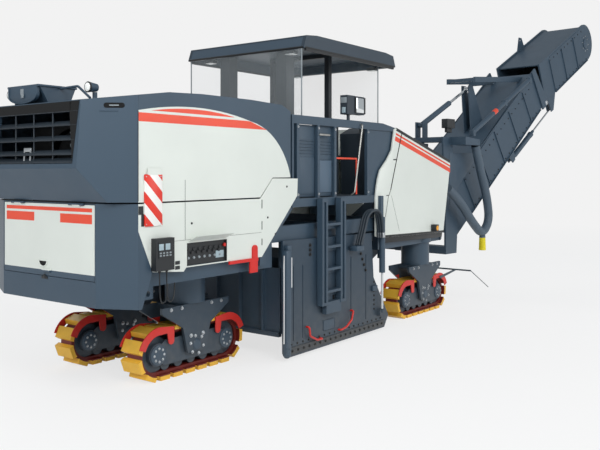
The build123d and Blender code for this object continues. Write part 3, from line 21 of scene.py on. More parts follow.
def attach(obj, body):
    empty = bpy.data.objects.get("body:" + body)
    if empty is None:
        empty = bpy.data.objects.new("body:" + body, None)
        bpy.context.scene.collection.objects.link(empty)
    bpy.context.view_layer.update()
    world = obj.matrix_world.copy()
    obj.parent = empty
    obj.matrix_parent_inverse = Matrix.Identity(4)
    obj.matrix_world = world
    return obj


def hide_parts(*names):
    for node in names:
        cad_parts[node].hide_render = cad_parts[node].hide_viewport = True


log = logging.getLogger("cold_planer")
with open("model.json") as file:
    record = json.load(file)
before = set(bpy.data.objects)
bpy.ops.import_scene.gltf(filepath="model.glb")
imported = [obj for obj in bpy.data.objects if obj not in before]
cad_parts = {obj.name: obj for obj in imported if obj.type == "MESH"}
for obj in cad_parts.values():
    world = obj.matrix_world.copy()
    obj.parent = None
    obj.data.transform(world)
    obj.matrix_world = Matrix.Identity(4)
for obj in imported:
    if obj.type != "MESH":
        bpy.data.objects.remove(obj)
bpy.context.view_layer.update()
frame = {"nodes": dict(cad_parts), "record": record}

MM = 0.001
Point = tuple[float, float, float]
Flat = tuple[float, float]
Face = tuple[int, ...]
Colour = tuple[float, float, float, float]
# Edges sharper than this are bevelled, and faces that meet at less than the second are shaded as one
BEVEL_FROM = radians(35)
SMOOTH_TO = radians(32)
# Straight pieces of each round bend of a bar
BEND_STEPS = 8


class Way(Enum):
    """Directions that a surface or a bolt faces."""

    RIGHT = (0.0, -1.0, 0.0)
    LEFT = (0.0, 1.0, 0.0)
    REAR = (-1.0, 0.0, 0.0)
    FRONT = (1.0, 0.0, 0.0)
    UP = (0.0, 0.0, 1.0)


class Side(Enum):
    """Sides of the machine by the sign of Y."""

    RIGHT = -1
    LEFT = 1

    @property
    def way(self) -> Way:
        """Direction that this side faces."""
        return Way.RIGHT if self is Side.RIGHT else Way.LEFT

    @property
    def label(self) -> str:
        """Name of this side in the names of pieces."""
        return self.name.lower()

    def span(self, one: float, other: float) -> Flat:
        """Turn two distances from the middle plane into a rising pair of Y on this side.

        Args:
            one: First distance.
            other: Second distance.

        Returns:
            Lower and higher Y.
        """
        return tuple(sorted((self.value * one, self.value * other)))


def linear(colour: str) -> Colour:
    """Turn an sRGB hex colour into linear RGBA.

    Args:
        colour: Six hex digits with a leading hash.

    Returns:
        Linear red, green, blue and an alpha of one.
    """
    parts = [int(colour[place : place + 2], 16) / 255 for place in (1, 3, 5)]
    values = [part / 12.92 if part <= 0.04045 else ((part + 0.055) / 1.055) ** 2.4 for part in parts]
    return (*values, 1.0)


def add_node(tree: bpy.types.NodeTree, kind: str, inputs: dict | None = None, **settings) -> bpy.types.Node:
    """Add one shader node with its settings, constants and links.

    Args:
        tree: Node tree that gets the node.
        kind: Blender's type name of the node.
        inputs: For each socket a constant, an output socket, or a node whose first output is meant.
        settings: Properties of the node.

    Returns:
        The new node.
    """
    node = tree.nodes.new(kind)
    for key, value in settings.items():
        setattr(node, key, value)
    for key, value in (inputs or {}).items():
        if isinstance(value, bpy.types.Node):
            value = value.outputs[0]
        if isinstance(value, bpy.types.NodeSocket):
            tree.links.new(value, node.inputs[key])
        else:
            node.inputs[key].default_value = value
    return node


class Shading:
    """One new material with its shader and its object-space coordinates."""

    def __init__(self, name: str) -> None:
        """Make the material.

        Args:
            name: Material name.
        """
        self.material = bpy.data.materials.new(name)
        self.material.use_nodes = True
        self.tree = self.material.node_tree
        self.shader = self.tree.nodes["Principled BSDF"]
        self.place = add_node(self.tree, "ShaderNodeTexCoord").outputs["Object"]
        split = add_node(self.tree, "ShaderNodeSeparateXYZ", {0: self.place})
        self.axis = {"x": split.outputs[0], "y": split.outputs[1], "z": split.outputs[2]}
        across = add_node(self.tree, "ShaderNodeMath", {0: split.outputs[1]}, operation="ABSOLUTE")
        self.axis["across"] = across.outputs[0]

    def link(self, node: bpy.types.Node, socket: str) -> None:
        """Link a node's first output to a socket of the shader."""
        self.tree.links.new(node.outputs[0], self.shader.inputs[socket])

    def fix(self, **values) -> None:
        """Set sockets of the shader to constants, with underscores for the spaces in their names."""
        for key, value in values.items():
            self.shader.inputs[key.replace("_", " ")].default_value = value

    def pattern(self, size_mm: float, **inputs: float) -> dict:
        """Inputs of a texture node whose clouds, cells or waves are as large as the given size.

        Args:
            size_mm: Size of one of them in millimetres.
            inputs: Other sockets of the node.

        Returns:
            The node's inputs.
        """
        return {"Vector": self.place, "Scale": 1 / (size_mm * MM), **inputs}

    def mask(self, limits: tuple[tuple[str, float, float], ...]) -> bpy.types.Node:
        """Mask that is one inside all the limits.

        Args:
            limits: Coordinate name, lowest and highest value of each limit.

        Returns:
            Node whose output is the mask.
        """
        total = None
        for name, low, high in limits:
            inputs = {0: self.axis[name], 1: (low + high) / 2, 2: (high - low) / 2}
            inside = add_node(self.tree, "ShaderNodeMath", inputs, operation="COMPARE")
            both = {0: total, 1: inside}
            total = add_node(self.tree, "ShaderNodeMath", both, operation="MULTIPLY") if total else inside
        return total


class Finish(Protocol):
    """What every finish has: a name and the material that it makes."""

    name: str

    def material(self) -> bpy.types.Material:
        """Make the material."""


@dataclass(frozen=True)
class Band:
    """A painted region between limits of the object-space coordinates.

    Args:
        colour: Hex colour of the region.
        limits: Coordinate name, lowest and highest value of each limit.
    """

    colour: str
    limits: tuple[tuple[str, float, float], ...]


@dataclass(frozen=True)
class Paint:
    """Two-coat paint sprayed on sheet steel: soft gloss, orange peel and road dust near the ground.

    Args:
        name: Material name.
        colour: Hex colour.
        roughness: Roughness of the coat.
        coat: Weight of the clear coat.
        peel_mm: Size of the orange peel, drawn coarser than the real 2 mm so that it shows.
        edge_mm: Radius of the softened edges.
        bands: Regions of another colour.
        dust: Share of dust at the ground.
        dust_top: Height where the dust has died out.
    """

    name: str
    colour: str
    roughness: float = 0.48
    coat: float = 0.04
    peel_mm: float = 7.0
    edge_mm: float = 5.0
    bands: tuple[Band, ...] = ()
    dust: float = 0.18
    dust_top: float = 1.1

    def ground(self, shading: Shading) -> bpy.types.Node:
        """Colour with faint clouds, the bands and the dust.

        Args:
            shading: Material under work.

        Returns:
            Node whose output is the colour.
        """
        tree = shading.tree
        pale = linear(self.colour)
        deep = tuple(part * 0.88 for part in pale[:3]) + (1.0,)
        clouds = add_node(tree, "ShaderNodeTexNoise", shading.pattern(700.0, Detail=4.0))
        colour = add_node(tree, "ShaderNodeMixRGB", {0: clouds, 1: pale, 2: deep})
        for band in self.bands:
            inputs = {0: shading.mask(band.limits), 1: colour, 2: linear(band.colour)}
            colour = add_node(tree, "ShaderNodeMixRGB", inputs)
        height = {0: shading.axis["z"], "From Max": self.dust_top, "To Min": self.dust, "To Max": 0.0}
        low = add_node(tree, "ShaderNodeMapRange", height)
        specks = add_node(tree, "ShaderNodeTexNoise", shading.pattern(90.0, Detail=8.0))
        dusty = add_node(tree, "ShaderNodeMath", {0: low, 1: specks}, operation="MULTIPLY")
        return add_node(tree, "ShaderNodeMixRGB", {0: dusty, 1: colour, 2: linear("#8A857C")})

    def material(self) -> bpy.types.Material:
        """Make the material."""
        shading = Shading(self.name)
        tree = shading.tree
        shading.link(self.ground(shading), "Base Color")
        smears = add_node(tree, "ShaderNodeTexNoise", shading.pattern(300.0, Detail=4.0))
        gloss = {0: smears, "To Min": self.roughness - 0.06, "To Max": self.roughness + 0.08}
        shading.link(add_node(tree, "ShaderNodeMapRange", gloss), "Roughness")
        edge = add_node(tree, "ShaderNodeBevel", {"Radius": self.edge_mm * MM}, samples=4)
        peel = add_node(tree, "ShaderNodeTexNoise", shading.pattern(self.peel_mm, Detail=2.0))
        relief = {"Strength": 0.12, "Distance": 0.3 * MM, "Height": peel, "Normal": edge}
        shading.link(add_node(tree, "ShaderNodeBump", relief), "Normal")
        shading.fix(Coat_Weight=self.coat, Coat_Roughness=0.12, IOR=1.5)
        return shading.material


@dataclass(frozen=True)
class Metal:
    """Bare metal, cast, ground, plated or turned, with its own grain and patchy gloss.

    Args:
        name: Material name.
        colour: Hex colour.
        roughness: Roughness.
        grain_mm: Size of the grain.
        depth_mm: Height of the grain.
    """

    name: str
    colour: str
    roughness: float
    grain_mm: float = 3.0
    depth_mm: float = 0.1

    def material(self) -> bpy.types.Material:
        """Make the material."""
        shading = Shading(self.name)
        tree = shading.tree
        grain = add_node(tree, "ShaderNodeTexNoise", shading.pattern(self.grain_mm, Detail=6.0))
        gloss = {0: grain, "To Min": self.roughness * 0.8, "To Max": min(1.0, self.roughness * 1.3)}
        relief = {"Strength": 0.5, "Distance": self.depth_mm * MM, "Height": grain}
        shading.link(add_node(tree, "ShaderNodeMapRange", gloss), "Roughness")
        shading.link(add_node(tree, "ShaderNodeBump", relief), "Normal")
        shading.fix(Base_Color=linear(self.colour), Metallic=1.0)
        return shading.material


@dataclass(frozen=True)
class Moulded:
    """Moulded rubber, polyurethane, plastic or vinyl with a fine cell grain and earth in its hollows.

    Args:
        name: Material name.
        colour: Hex colour.
        roughness: Roughness.
        grain_mm: Size of the moulded grain.
        depth_mm: Height of the grain.
        dirt: Share of earth on it.
    """

    name: str
    colour: str
    roughness: float
    grain_mm: float = 2.0
    depth_mm: float = 0.2
    dirt: float = 0.0

    def ground(self, shading: Shading) -> bpy.types.Node:
        """Colour with patches of earth.

        Args:
            shading: Material under work.

        Returns:
            Node whose output is the colour.
        """
        tree = shading.tree
        earth = add_node(tree, "ShaderNodeTexNoise", shading.pattern(120.0, Detail=8.0))
        patch = {0: earth, "From Min": 0.45, "From Max": 0.75, "To Max": self.dirt}
        share = add_node(tree, "ShaderNodeMapRange", patch)
        return add_node(tree, "ShaderNodeMixRGB", {0: share, 1: linear(self.colour), 2: linear("#5B4A3A")})

    def finish_surface(self, shading: Shading) -> None:
        """Add the moulded grain, the softened edges and the gloss.

        Args:
            shading: Material under work.
        """
        tree = shading.tree
        cells = add_node(tree, "ShaderNodeTexVoronoi", shading.pattern(self.grain_mm))
        edge = add_node(tree, "ShaderNodeBevel", {"Radius": 4.0 * MM}, samples=4)
        relief = {"Strength": 0.3, "Distance": self.depth_mm * MM, "Height": cells, "Normal": edge}
        shading.link(add_node(tree, "ShaderNodeBump", relief), "Normal")
        shading.fix(Roughness=self.roughness, IOR=1.5)

    def material(self) -> bpy.types.Material:
        """Make the material."""
        shading = Shading(self.name)
        shading.link(self.ground(shading), "Base Color")
        self.finish_surface(shading)
        return shading.material


@dataclass(frozen=True)
class TrackPads(Moulded):
    """Cast polyurethane pads on a chain in red-brown primer, told apart by distance from the wheels.

    Args:
        centre_x: Middle of the track along X.
        half_span: Half the distance of the wheels.
        axle_z: Height of the wheels.
        chain_radius: Outer radius of the chain.
        chain_colour: Hex colour of the chain.
    """

    centre_x: float = 0.0
    half_span: float = 0.5675
    axle_z: float = 0.3
    chain_radius: float = 0.25
    chain_colour: str = "#6A1B12"

    def ground(self, shading: Shading) -> bpy.types.Node:
        """Colour of the pads outside the chain's radius and of the chain inside it.

        Args:
            shading: Material under work.

        Returns:
            Node whose output is the colour.
        """
        tree = shading.tree
        offset = {0: shading.axis["x"], 1: self.centre_x}
        shift = add_node(tree, "ShaderNodeMath", offset, operation="SUBTRACT")
        along = add_node(tree, "ShaderNodeMath", {0: shift}, operation="ABSOLUTE")
        past = add_node(tree, "ShaderNodeMath", {0: along, 1: self.half_span}, operation="SUBTRACT")
        beyond = add_node(tree, "ShaderNodeMath", {0: past, 1: 0.0}, operation="MAXIMUM")
        lifted = {0: shading.axis["z"], 1: self.axle_z}
        rise = add_node(tree, "ShaderNodeMath", lifted, operation="SUBTRACT")
        flat = add_node(tree, "ShaderNodeCombineXYZ", {0: beyond, 1: rise})
        radius = add_node(tree, "ShaderNodeVectorMath", {0: flat}, operation="LENGTH").outputs["Value"]
        limit = self.chain_radius + 1.0 * MM
        is_pad = add_node(tree, "ShaderNodeMath", {0: radius, 1: limit}, operation="GREATER_THAN")
        pad = super().ground(shading)
        return add_node(tree, "ShaderNodeMixRGB", {0: is_pad, 1: linear(self.chain_colour), 2: pad})


@dataclass(frozen=True)
class Chevrons:
    """Retro-reflective sheeting with slanting red and white bars, fine glass beads under a gloss film.

    Args:
        name: Material name.
        pitch: Distance from one red bar to the next.
        lean: Rise of a bar for each metre of X.
    """

    name: str = "sheeting_retro_reflective_chevron"
    pitch: float = 0.23
    lean: float = -1.0

    def material(self) -> bpy.types.Material:
        """Make the material."""
        shading = Shading(self.name)
        tree = shading.tree
        slant = {0: shading.axis["x"], 1: -self.lean, 2: shading.axis["z"]}
        height = add_node(tree, "ShaderNodeMath", slant, operation="MULTIPLY_ADD")
        turns = add_node(tree, "ShaderNodeMath", {0: height, 1: self.pitch}, operation="DIVIDE")
        turn = add_node(tree, "ShaderNodeMath", {0: turns}, operation="FRACT")
        red = add_node(tree, "ShaderNodeMath", {0: turn, 1: 0.5}, operation="GREATER_THAN")
        colour = {0: red, 1: linear("#F1EFEC"), 2: linear("#E0301F")}
        shading.link(add_node(tree, "ShaderNodeMixRGB", colour), "Base Color")
        beads = add_node(tree, "ShaderNodeTexVoronoi", shading.pattern(3.0))
        relief = {"Strength": 0.2, "Distance": 0.1 * MM, "Height": beads}
        shading.link(add_node(tree, "ShaderNodeBump", relief), "Normal")
        shading.fix(Roughness=0.3, IOR=1.5)
        return shading.material


@dataclass(frozen=True)
class Pane:
    """Clear float glass or acrylic: nearly unseen apart from its reflections and a film of dust.

    Args:
        name: Material name.
        colour: Hex tint.
        alpha: How much the tint covers.
    """

    name: str = "glass_clear_tempered"
    colour: str = "#DDE6EA"
    alpha: float = 0.10

    def material(self) -> bpy.types.Material:
        """Make the material."""
        shading = Shading(self.name)
        dust = add_node(shading.tree, "ShaderNodeTexNoise", shading.pattern(400.0, Detail=6.0))
        film = {0: dust, "To Min": 0.01, "To Max": 0.05}
        shading.link(add_node(shading.tree, "ShaderNodeMapRange", film), "Roughness")
        shading.fix(Base_Color=linear(self.colour), Alpha=self.alpha, IOR=1.5)
        return shading.material


@dataclass(frozen=True)
class Lens:
    """Pressed glass lens of a lamp; the light from the reflector behind its flutes is painted, a faint
    emission.

    Args:
        name: Material name.
        colour: Hex colour.
        glow: Strength of the emission, painted light that stands for the light coming back from the
            reflector.
    """

    name: str
    colour: str
    glow: float = 0.12

    def material(self) -> bpy.types.Material:
        """Make the material."""
        shading = Shading(self.name)
        tree = shading.tree
        flutes = add_node(tree, "ShaderNodeTexWave", shading.pattern(25.0))
        relief = {"Strength": 0.4, "Distance": 1.0 * MM, "Height": flutes}
        shading.link(add_node(tree, "ShaderNodeBump", relief), "Normal")
        shade = linear(self.colour)
        shading.fix(Base_Color=shade, Roughness=0.08, Emission_Color=shade, Emission_Strength=self.glow)
        return shading.material


@dataclass(frozen=True)
class Fins:
    """Aluminium cooler core in black paint: upright fins that read as a fine dark ribbing.

    Args:
        name: Material name.
        pitch_mm: Distance of the fins, drawn at twice the real 3 mm so that they show.
    """

    name: str = "aluminium_cooler_core_black"
    pitch_mm: float = 6.0

    def material(self) -> bpy.types.Material:
        """Make the material."""
        shading = Shading(self.name)
        tree = shading.tree
        turn = {0: shading.axis["y"], 1: self.pitch_mm * MM}
        turns = add_node(tree, "ShaderNodeMath", turn, operation="DIVIDE")
        height = add_node(tree, "ShaderNodeMath", {0: turns, 1: 0.5}, operation="PINGPONG")
        relief = {"Strength": 1.0, "Distance": 3.0 * MM, "Height": height}
        shading.link(add_node(tree, "ShaderNodeBump", relief), "Normal")
        shading.fix(Base_Color=linear("#1B1D1F"), Metallic=0.6, Roughness=0.45)
        return shading.material


@dataclass(frozen=True)
class TreadPlate:
    """Checker plate: painted steel with raised lozenges for grip.

    Args:
        name: Material name.
        colour: Hex colour.
        pitch_mm: Distance of the lozenges.
    """

    name: str = "steel_checker_plate_painted"
    colour: str = "#3A444D"
    pitch_mm: float = 30.0

    def material(self) -> bpy.types.Material:
        """Make the material."""
        shading = Shading(self.name)
        tree = shading.tree
        cells = shading.pattern(self.pitch_mm, Randomness=0.0)
        lozenge = add_node(tree, "ShaderNodeTexVoronoi", cells, distance="MANHATTAN")
        relief = {"Strength": 0.8, "Distance": 2.0 * MM, "Height": lozenge}
        shading.link(add_node(tree, "ShaderNodeBump", relief, invert=True), "Normal")
        worn = {0: lozenge, "From Min": 0.0, "From Max": 0.4, "To Min": 0.35, "To Max": 0.6}
        shading.link(add_node(tree, "ShaderNodeMapRange", worn), "Roughness")
        shading.fix(Base_Color=linear(self.colour), Metallic=0.2)
        return shading.material


SLATE = "#384C5D"
DEEP_SLATE = "#2B3E4E"
OFF_WHITE = "#E3E8E1"
SIGNAL_RED = "#D81A10"
ROOF_SLATE = "#2C3B48"
SLEEVE_YELLOW = "#EBD81A"

# Dark blue-grey machine paint: the deep satin colour of the frame, hood and conveyors
SLATE_PAINT = Paint("paint_slate_sprayed_steel", SLATE)
# The same paint on the roof's rolled edges: darker, as they face away from the light
ROOF_PAINT = Paint("paint_slate_roof_sheet", ROOF_SLATE)
# Near-black slate paint without a gloss coat: the posts read as thin dark lines
POST_PAINT = Paint("paint_black_slate_posts", "#1A2128", coat=0.0)
# Dark slate paint without a gloss coat: consoles and inner walls recede into shade
DARK_PAINT = Paint("paint_dark_slate_boxes", "#2A353F", coat=0.0)
# Paler slate paint: the cabinet doors stand out from the darker cabinets
PALE_SLATE_PAINT = Paint("paint_pale_slate_door", "#4E6376")
# Off-white machine paint: pale panels with a faint green cast
WHITE_PAINT = Paint("paint_off_white_sprayed_steel", OFF_WHITE, roughness=0.42)
# Signal red powder coat: handles and levers that catch the eye
RED_PAINT = Paint("powder_coat_signal_red", SIGNAL_RED, roughness=0.35)
# Orange-red cut film: flat, even colour with a slight gloss and crisp edges
STRIPE_FILM = Paint("film_orange_red_stripe", "#EE4B2B", roughness=0.4, coat=0.1, edge_mm=0.5)
# Black satin powder coat: strips, seals, bolt heads and small frames
BLACK_PAINT = Paint("powder_coat_black_satin", "#15181B", roughness=0.45, coat=0.0)
# Dark slate paint on the folded slats of the grille: between the slate hood and the black behind
SLAT_PAINT = Paint("paint_slate_dark_slats", "#28323B", roughness=0.5, coat=0.0)
# Black foam seal in the open joints between panels: a line with nothing to reflect. The same near-black is
# painted shade in the mouth's surround, the corner vents and the door handle's recess, and painted shadows
# on the side plates' brackets
SHADOW_GAP = Moulded("black_joint_seal_and_painted_shade", "#0B0D0F", 0.9)
# Vulcanised rubber of the conveyor belts: coarse, dull and nearly black
BELT_RUBBER = Moulded("rubber_conveyor_belt", "#1B1C1E", 0.75, grain_mm=6.0, depth_mm=0.6)
# Moulded black ABS: boxes, latches and knobs with a fine even grain
BLACK_PLASTIC = Moulded("abs_black_grained", "#1E2124", 0.5)
# Moulded grey ABS: push buttons, key pads and caps that read lighter than their boxes
GREY_PLASTIC = Moulded("abs_grey_panel", "#8C959A", 0.45)
# Vinyl sewn over foam: a dark seat with a soft sheen
VINYL = Moulded("vinyl_seat_cover_black", "#1D1F22", 0.5, grain_mm=3.0, depth_mm=0.4)
# Zinc-plated steel: pale, slightly dull bolts and brackets
ZINC = Metal("steel_zinc_plated", "#B9BDC0", 0.35)
# Hard-chromed and ground rods: bright with sharp reflections
CHROME = Metal("steel_hard_chromed", "#D9DCDE", 0.1, depth_mm=0.01)
# Steel worn bright by hands and gravel: warm grey with a broken shine
WORN_STEEL = Metal("steel_worn_bright", "#A9A8A4", 0.35)
# Sand-cast iron: dark, coarse and dull
CAST_IRON = Metal("iron_cast_dark", "#3F4042", 0.6, grain_mm=4.0, depth_mm=0.6)
# Silvered float glass: the mirror's clear reflection
MIRROR = Metal("glass_silvered_mirror", "#E6EAEC", 0.03, depth_mm=0.0)
# Pressed clear glass over a reflector: the bright face of a work lamp, its brightness a faint emission that
# is painted light
CLEAR_LENS = Lens("glass_pressed_lens_clear", "#F3F5F2")
# Pressed amber glass: the warm dot of a marker lamp, with a faint emission that is painted light
AMBER_LENS = Lens("glass_pressed_lens_amber", "#E39A1E")
# Cover glass of a switched-off display: a pale grey painted sheen, from a faint emission
DISPLAY = Lens("glass_display_grey", "#9DB0B8", glow=0.05)


class MaterialStore:
    """Makes each finish once and hands it out again."""

    def __init__(self) -> None:
        """Start with no material."""
        self.made: dict[str, bpy.types.Material] = {}

    def get(self, finish: Finish) -> bpy.types.Material:
        """Material of a finish, made on its first use."""
        if finish.name not in self.made:
            self.made[finish.name] = finish.material()
        return self.made[finish.name]


STORE = MaterialStore()


def body_of(node: str) -> str:
    """Body that a CAD node belongs to."""
    groups = frame["record"]["behaviour"]["bodies"]
    return next(body for body, members in groups.items() if node in members)


def dress(finish: Finish, *nodes: str) -> None:
    """Give CAD nodes their finish.

    Args:
        finish: One of the finishes.
        nodes: CAD nodes that get it.
    """
    for node in nodes:
        materials = frame["nodes"][node].data.materials
        materials.clear()
        materials.append(STORE.get(finish))


def curved_route(corners: list[Point], bend: float) -> list[Vector]:
    """Line of a bent bar: straight runs with round bends at its corners.

    Args:
        corners: Corner points.
        bend: Radius of the bends.

    Returns:
        Points along the bar.
    """
    spots = [Vector(corner) for corner in corners]
    route = [spots[0]]
    for before, here, after in zip(spots, spots[1:], spots[2:]):
        back, ahead = before - here, after - here
        half_turn = (pi - back.angle(ahead)) / 2
        wish = bend * sin(half_turn) / max(cos(half_turn), 1e-3)
        reach = min(wish, back.length * 0.48, ahead.length * 0.48)
        first, last = here + back.normalized() * reach, here + ahead.normalized() * reach
        for step in range(BEND_STEPS + 1):
            share = step / BEND_STEPS
            route.append(first * (1 - share) ** 2 + here * 2 * share * (1 - share) + last * share**2)
    route.append(spots[-1])
    return route


def circle(centre: Vector, first: Vector, second: Vector, radius: float, count: int) -> list[Vector]:
    """Points evenly round a circle.

    Args:
        centre: Middle of the circle.
        first: Direction of the first point.
        second: Direction square to it in the circle's plane.
        radius: Radius of the circle.
        count: Number of points.

    Returns:
        The points.
    """
    turns = (2 * pi * step / count for step in range(count))
    return [centre + (first * cos(turn) + second * sin(turn)) * radius for turn in turns]


class Workpiece:
    """Collects simple solids and joins them into one mesh object."""

    # Length, profile and sides of a bolt's washer and head, in widths across the flats
    BOLT = (
        (0.14, ((0.0, 0.85), (1.0, 0.85)), 16),
        (0.68, ((0.0, 0.577), (0.9, 0.577), (1.0, 0.5)), 6),
    )

    def __init__(self, place: Matrix | None = None) -> None:
        """Start an empty mesh.

        Args:
            place: Matrix that takes the local points into the frame.
        """
        self.place = place or Matrix.Identity(4)
        self.points: list[Vector] = []
        self.faces: list[Face] = []

    def add(self, points: list, faces: list[Face]) -> None:
        """Add points and the faces that use them.

        Args:
            points: Local points.
            faces: Indices into those points.
        """
        start = len(self.points)
        self.points += [self.place @ Vector(point) for point in points]
        self.faces += [tuple(start + index for index in face) for face in faces]

    def box(self, x: Flat, y: Flat, z: Flat) -> None:
        """Add a box between two limits on each axis."""
        corners = [(a, b, c) for a in x for b in y for c in z]
        faces = [(0, 1, 3, 2), (4, 6, 7, 5), (0, 4, 5, 1), (2, 3, 7, 6), (0, 2, 6, 4), (1, 5, 7, 3)]
        self.add(corners, faces)

    def plate(self, outline: list[Flat], y: Flat) -> None:
        """Add a plate.

        Args:
            outline: Corners in the XZ plane.
            y: Its two faces.
        """
        self.prism(*([(across, place, height) for across, height in outline] for place in y))

    def prism(self, first: list[Point], second: list[Point]) -> None:
        """Add a closed form between two outlines with the same number of corners.

        Args:
            first: Corners of one end.
            second: Corners of the other end.
        """
        count = len(first)
        ends = [tuple(range(count)), tuple(range(2 * count - 1, count - 1, -1))]
        sides = [(k, (k + 1) % count, count + (k + 1) % count, count + k) for k in range(count)]
        self.add([*first, *second], ends + sides)

    def skin(self, rings: list[list[Vector]]) -> None:
        """Add a round skin over rings of points, closed at both ends.

        Args:
            rings: Points of each ring, the same number in all.
        """
        sides = len(rings[0])
        last = (len(rings) - 1) * sides
        faces = []
        for start in range(0, last, sides):
            for step in range(sides):
                first, second = start + step, start + (step + 1) % sides
                faces.append((first, second, second + sides, first + sides))
        faces += [tuple(range(sides - 1, -1, -1)), tuple(range(last, last + sides))]
        self.add([point for ring in rings for point in ring], faces)

    def sweep(self, route: list[Vector], radii: list[float], sides: int) -> None:
        """Add a round skin along a route, closed at both ends.

        Args:
            route: Points of its axis.
            radii: Radius at each point.
            sides: Number of sides.
        """
        rings, normal = [], None
        for index, here in enumerate(route):
            way = route[min(index + 1, len(route) - 1)] - route[max(index - 1, 0)]
            way = way.normalized() if way.length > 1e-9 else Vector((0, 0, 1))
            normal = way.orthogonal() if normal is None else normal - way * normal.dot(way)
            normal.normalize()
            rings.append(circle(here, normal, way.cross(normal), radii[index], sides))
        self.skin(rings)

    def turned(self, foot: Point, head: Point, profile: list[Flat], sides: int = 24) -> None:
        """Add a turned piece between two points.

        Args:
            foot: Start of its axis.
            head: End of its axis.
            profile: Share of the way and radius, at least two pairs.
            sides: Number of sides.
        """
        start, end = Vector(foot), Vector(head)
        way = (end - start).normalized()
        normal = way.orthogonal().normalized()
        flank = way.cross(normal)
        rings = [circle(start.lerp(end, share), normal, flank, radius, sides) for share, radius in profile]
        self.skin(rings)

    def bar(self, corners: list[Point], radius: float, bend: float = 0.05, sides: int = 14) -> None:
        """Add a bent round bar or pipe.

        Args:
            corners: Corner points.
            radius: Radius of the bar.
            bend: Radius of its bends.
            sides: Number of sides.
        """
        route = curved_route(corners, bend)
        self.sweep(route, [radius] * len(route), sides)

    def bolt(self, seat: Point, way: Point, width: float) -> None:
        """Add a washer and a hexagon head.

        Args:
            seat: Point where the washer sits.
            way: Direction away from the surface.
            width: Distance across the flats.
        """
        base, out = Vector(seat), Vector(way).normalized()
        for length, profile, sides in self.BOLT:
            radii = [(share, width * part) for share, part in profile]
            self.turned(base, base + out * width * length, radii, sides)

    def ring_of_bolts(self, centre: Point, way: Way, radius: float, count: int, width: float) -> None:
        """Add bolts evenly round a circle.

        Args:
            centre: Middle of the circle.
            way: Direction that the heads face.
            radius: Radius of the circle.
            count: Number of bolts.
            width: Distance across the flats.
        """
        out = Vector(way.value)
        first = out.orthogonal().normalized()
        for seat in circle(Vector(centre), first, out.cross(first), radius, count):
            self.bolt(seat, out, width)

    def row_of_bolts(self, first: Point, last: Point, count: int, way: Way, width: float) -> None:
        """Add bolts evenly along a line.

        Args:
            first: Seat of the first bolt.
            last: Seat of the last bolt.
            count: Number of bolts.
            way: Direction that the heads face.
            width: Distance across the flats.
        """
        for step in range(count):
            self.bolt(Vector(first).lerp(Vector(last), step / (count - 1)), way.value, width)

    def build(self, name: str, finish: Finish, node: str, soften: float = 0.0) -> bpy.types.Object:
        """Make the mesh object and let it ride with a CAD node.

        Args:
            name: Name of the piece.
            finish: One of the finishes.
            node: CAD node that it sits on.
            soften: Width of the bevel on its sharp edges.

        Returns:
            The object.
        """
        mesh = bpy.data.meshes.new(name)
        mesh.from_pydata(self.points, [], self.faces)
        work = bmesh.new()
        work.from_mesh(mesh)
        bmesh.ops.recalc_face_normals(work, faces=work.faces)
        if soften:
            sharp = [edge for edge in work.edges if edge.calc_face_angle(0.0) > BEVEL_FROM]
            bmesh.ops.bevel(work, geom=sharp, offset=soften, segments=2, profile=0.5, affect="EDGES")
        work.to_mesh(mesh)
        work.free()
        mesh.polygons.foreach_set("use_smooth", [True] * len(mesh.polygons))
        mesh.set_sharp_from_angle(angle=SMOOTH_TO)
        mesh.materials.append(STORE.get(finish))
        piece = bpy.data.objects.new(name, mesh)
        bpy.context.scene.collection.objects.link(piece)
        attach(piece, body_of(node))
        log.info("%s: %d faces on %s", name, len(mesh.polygons), node)
        return piece


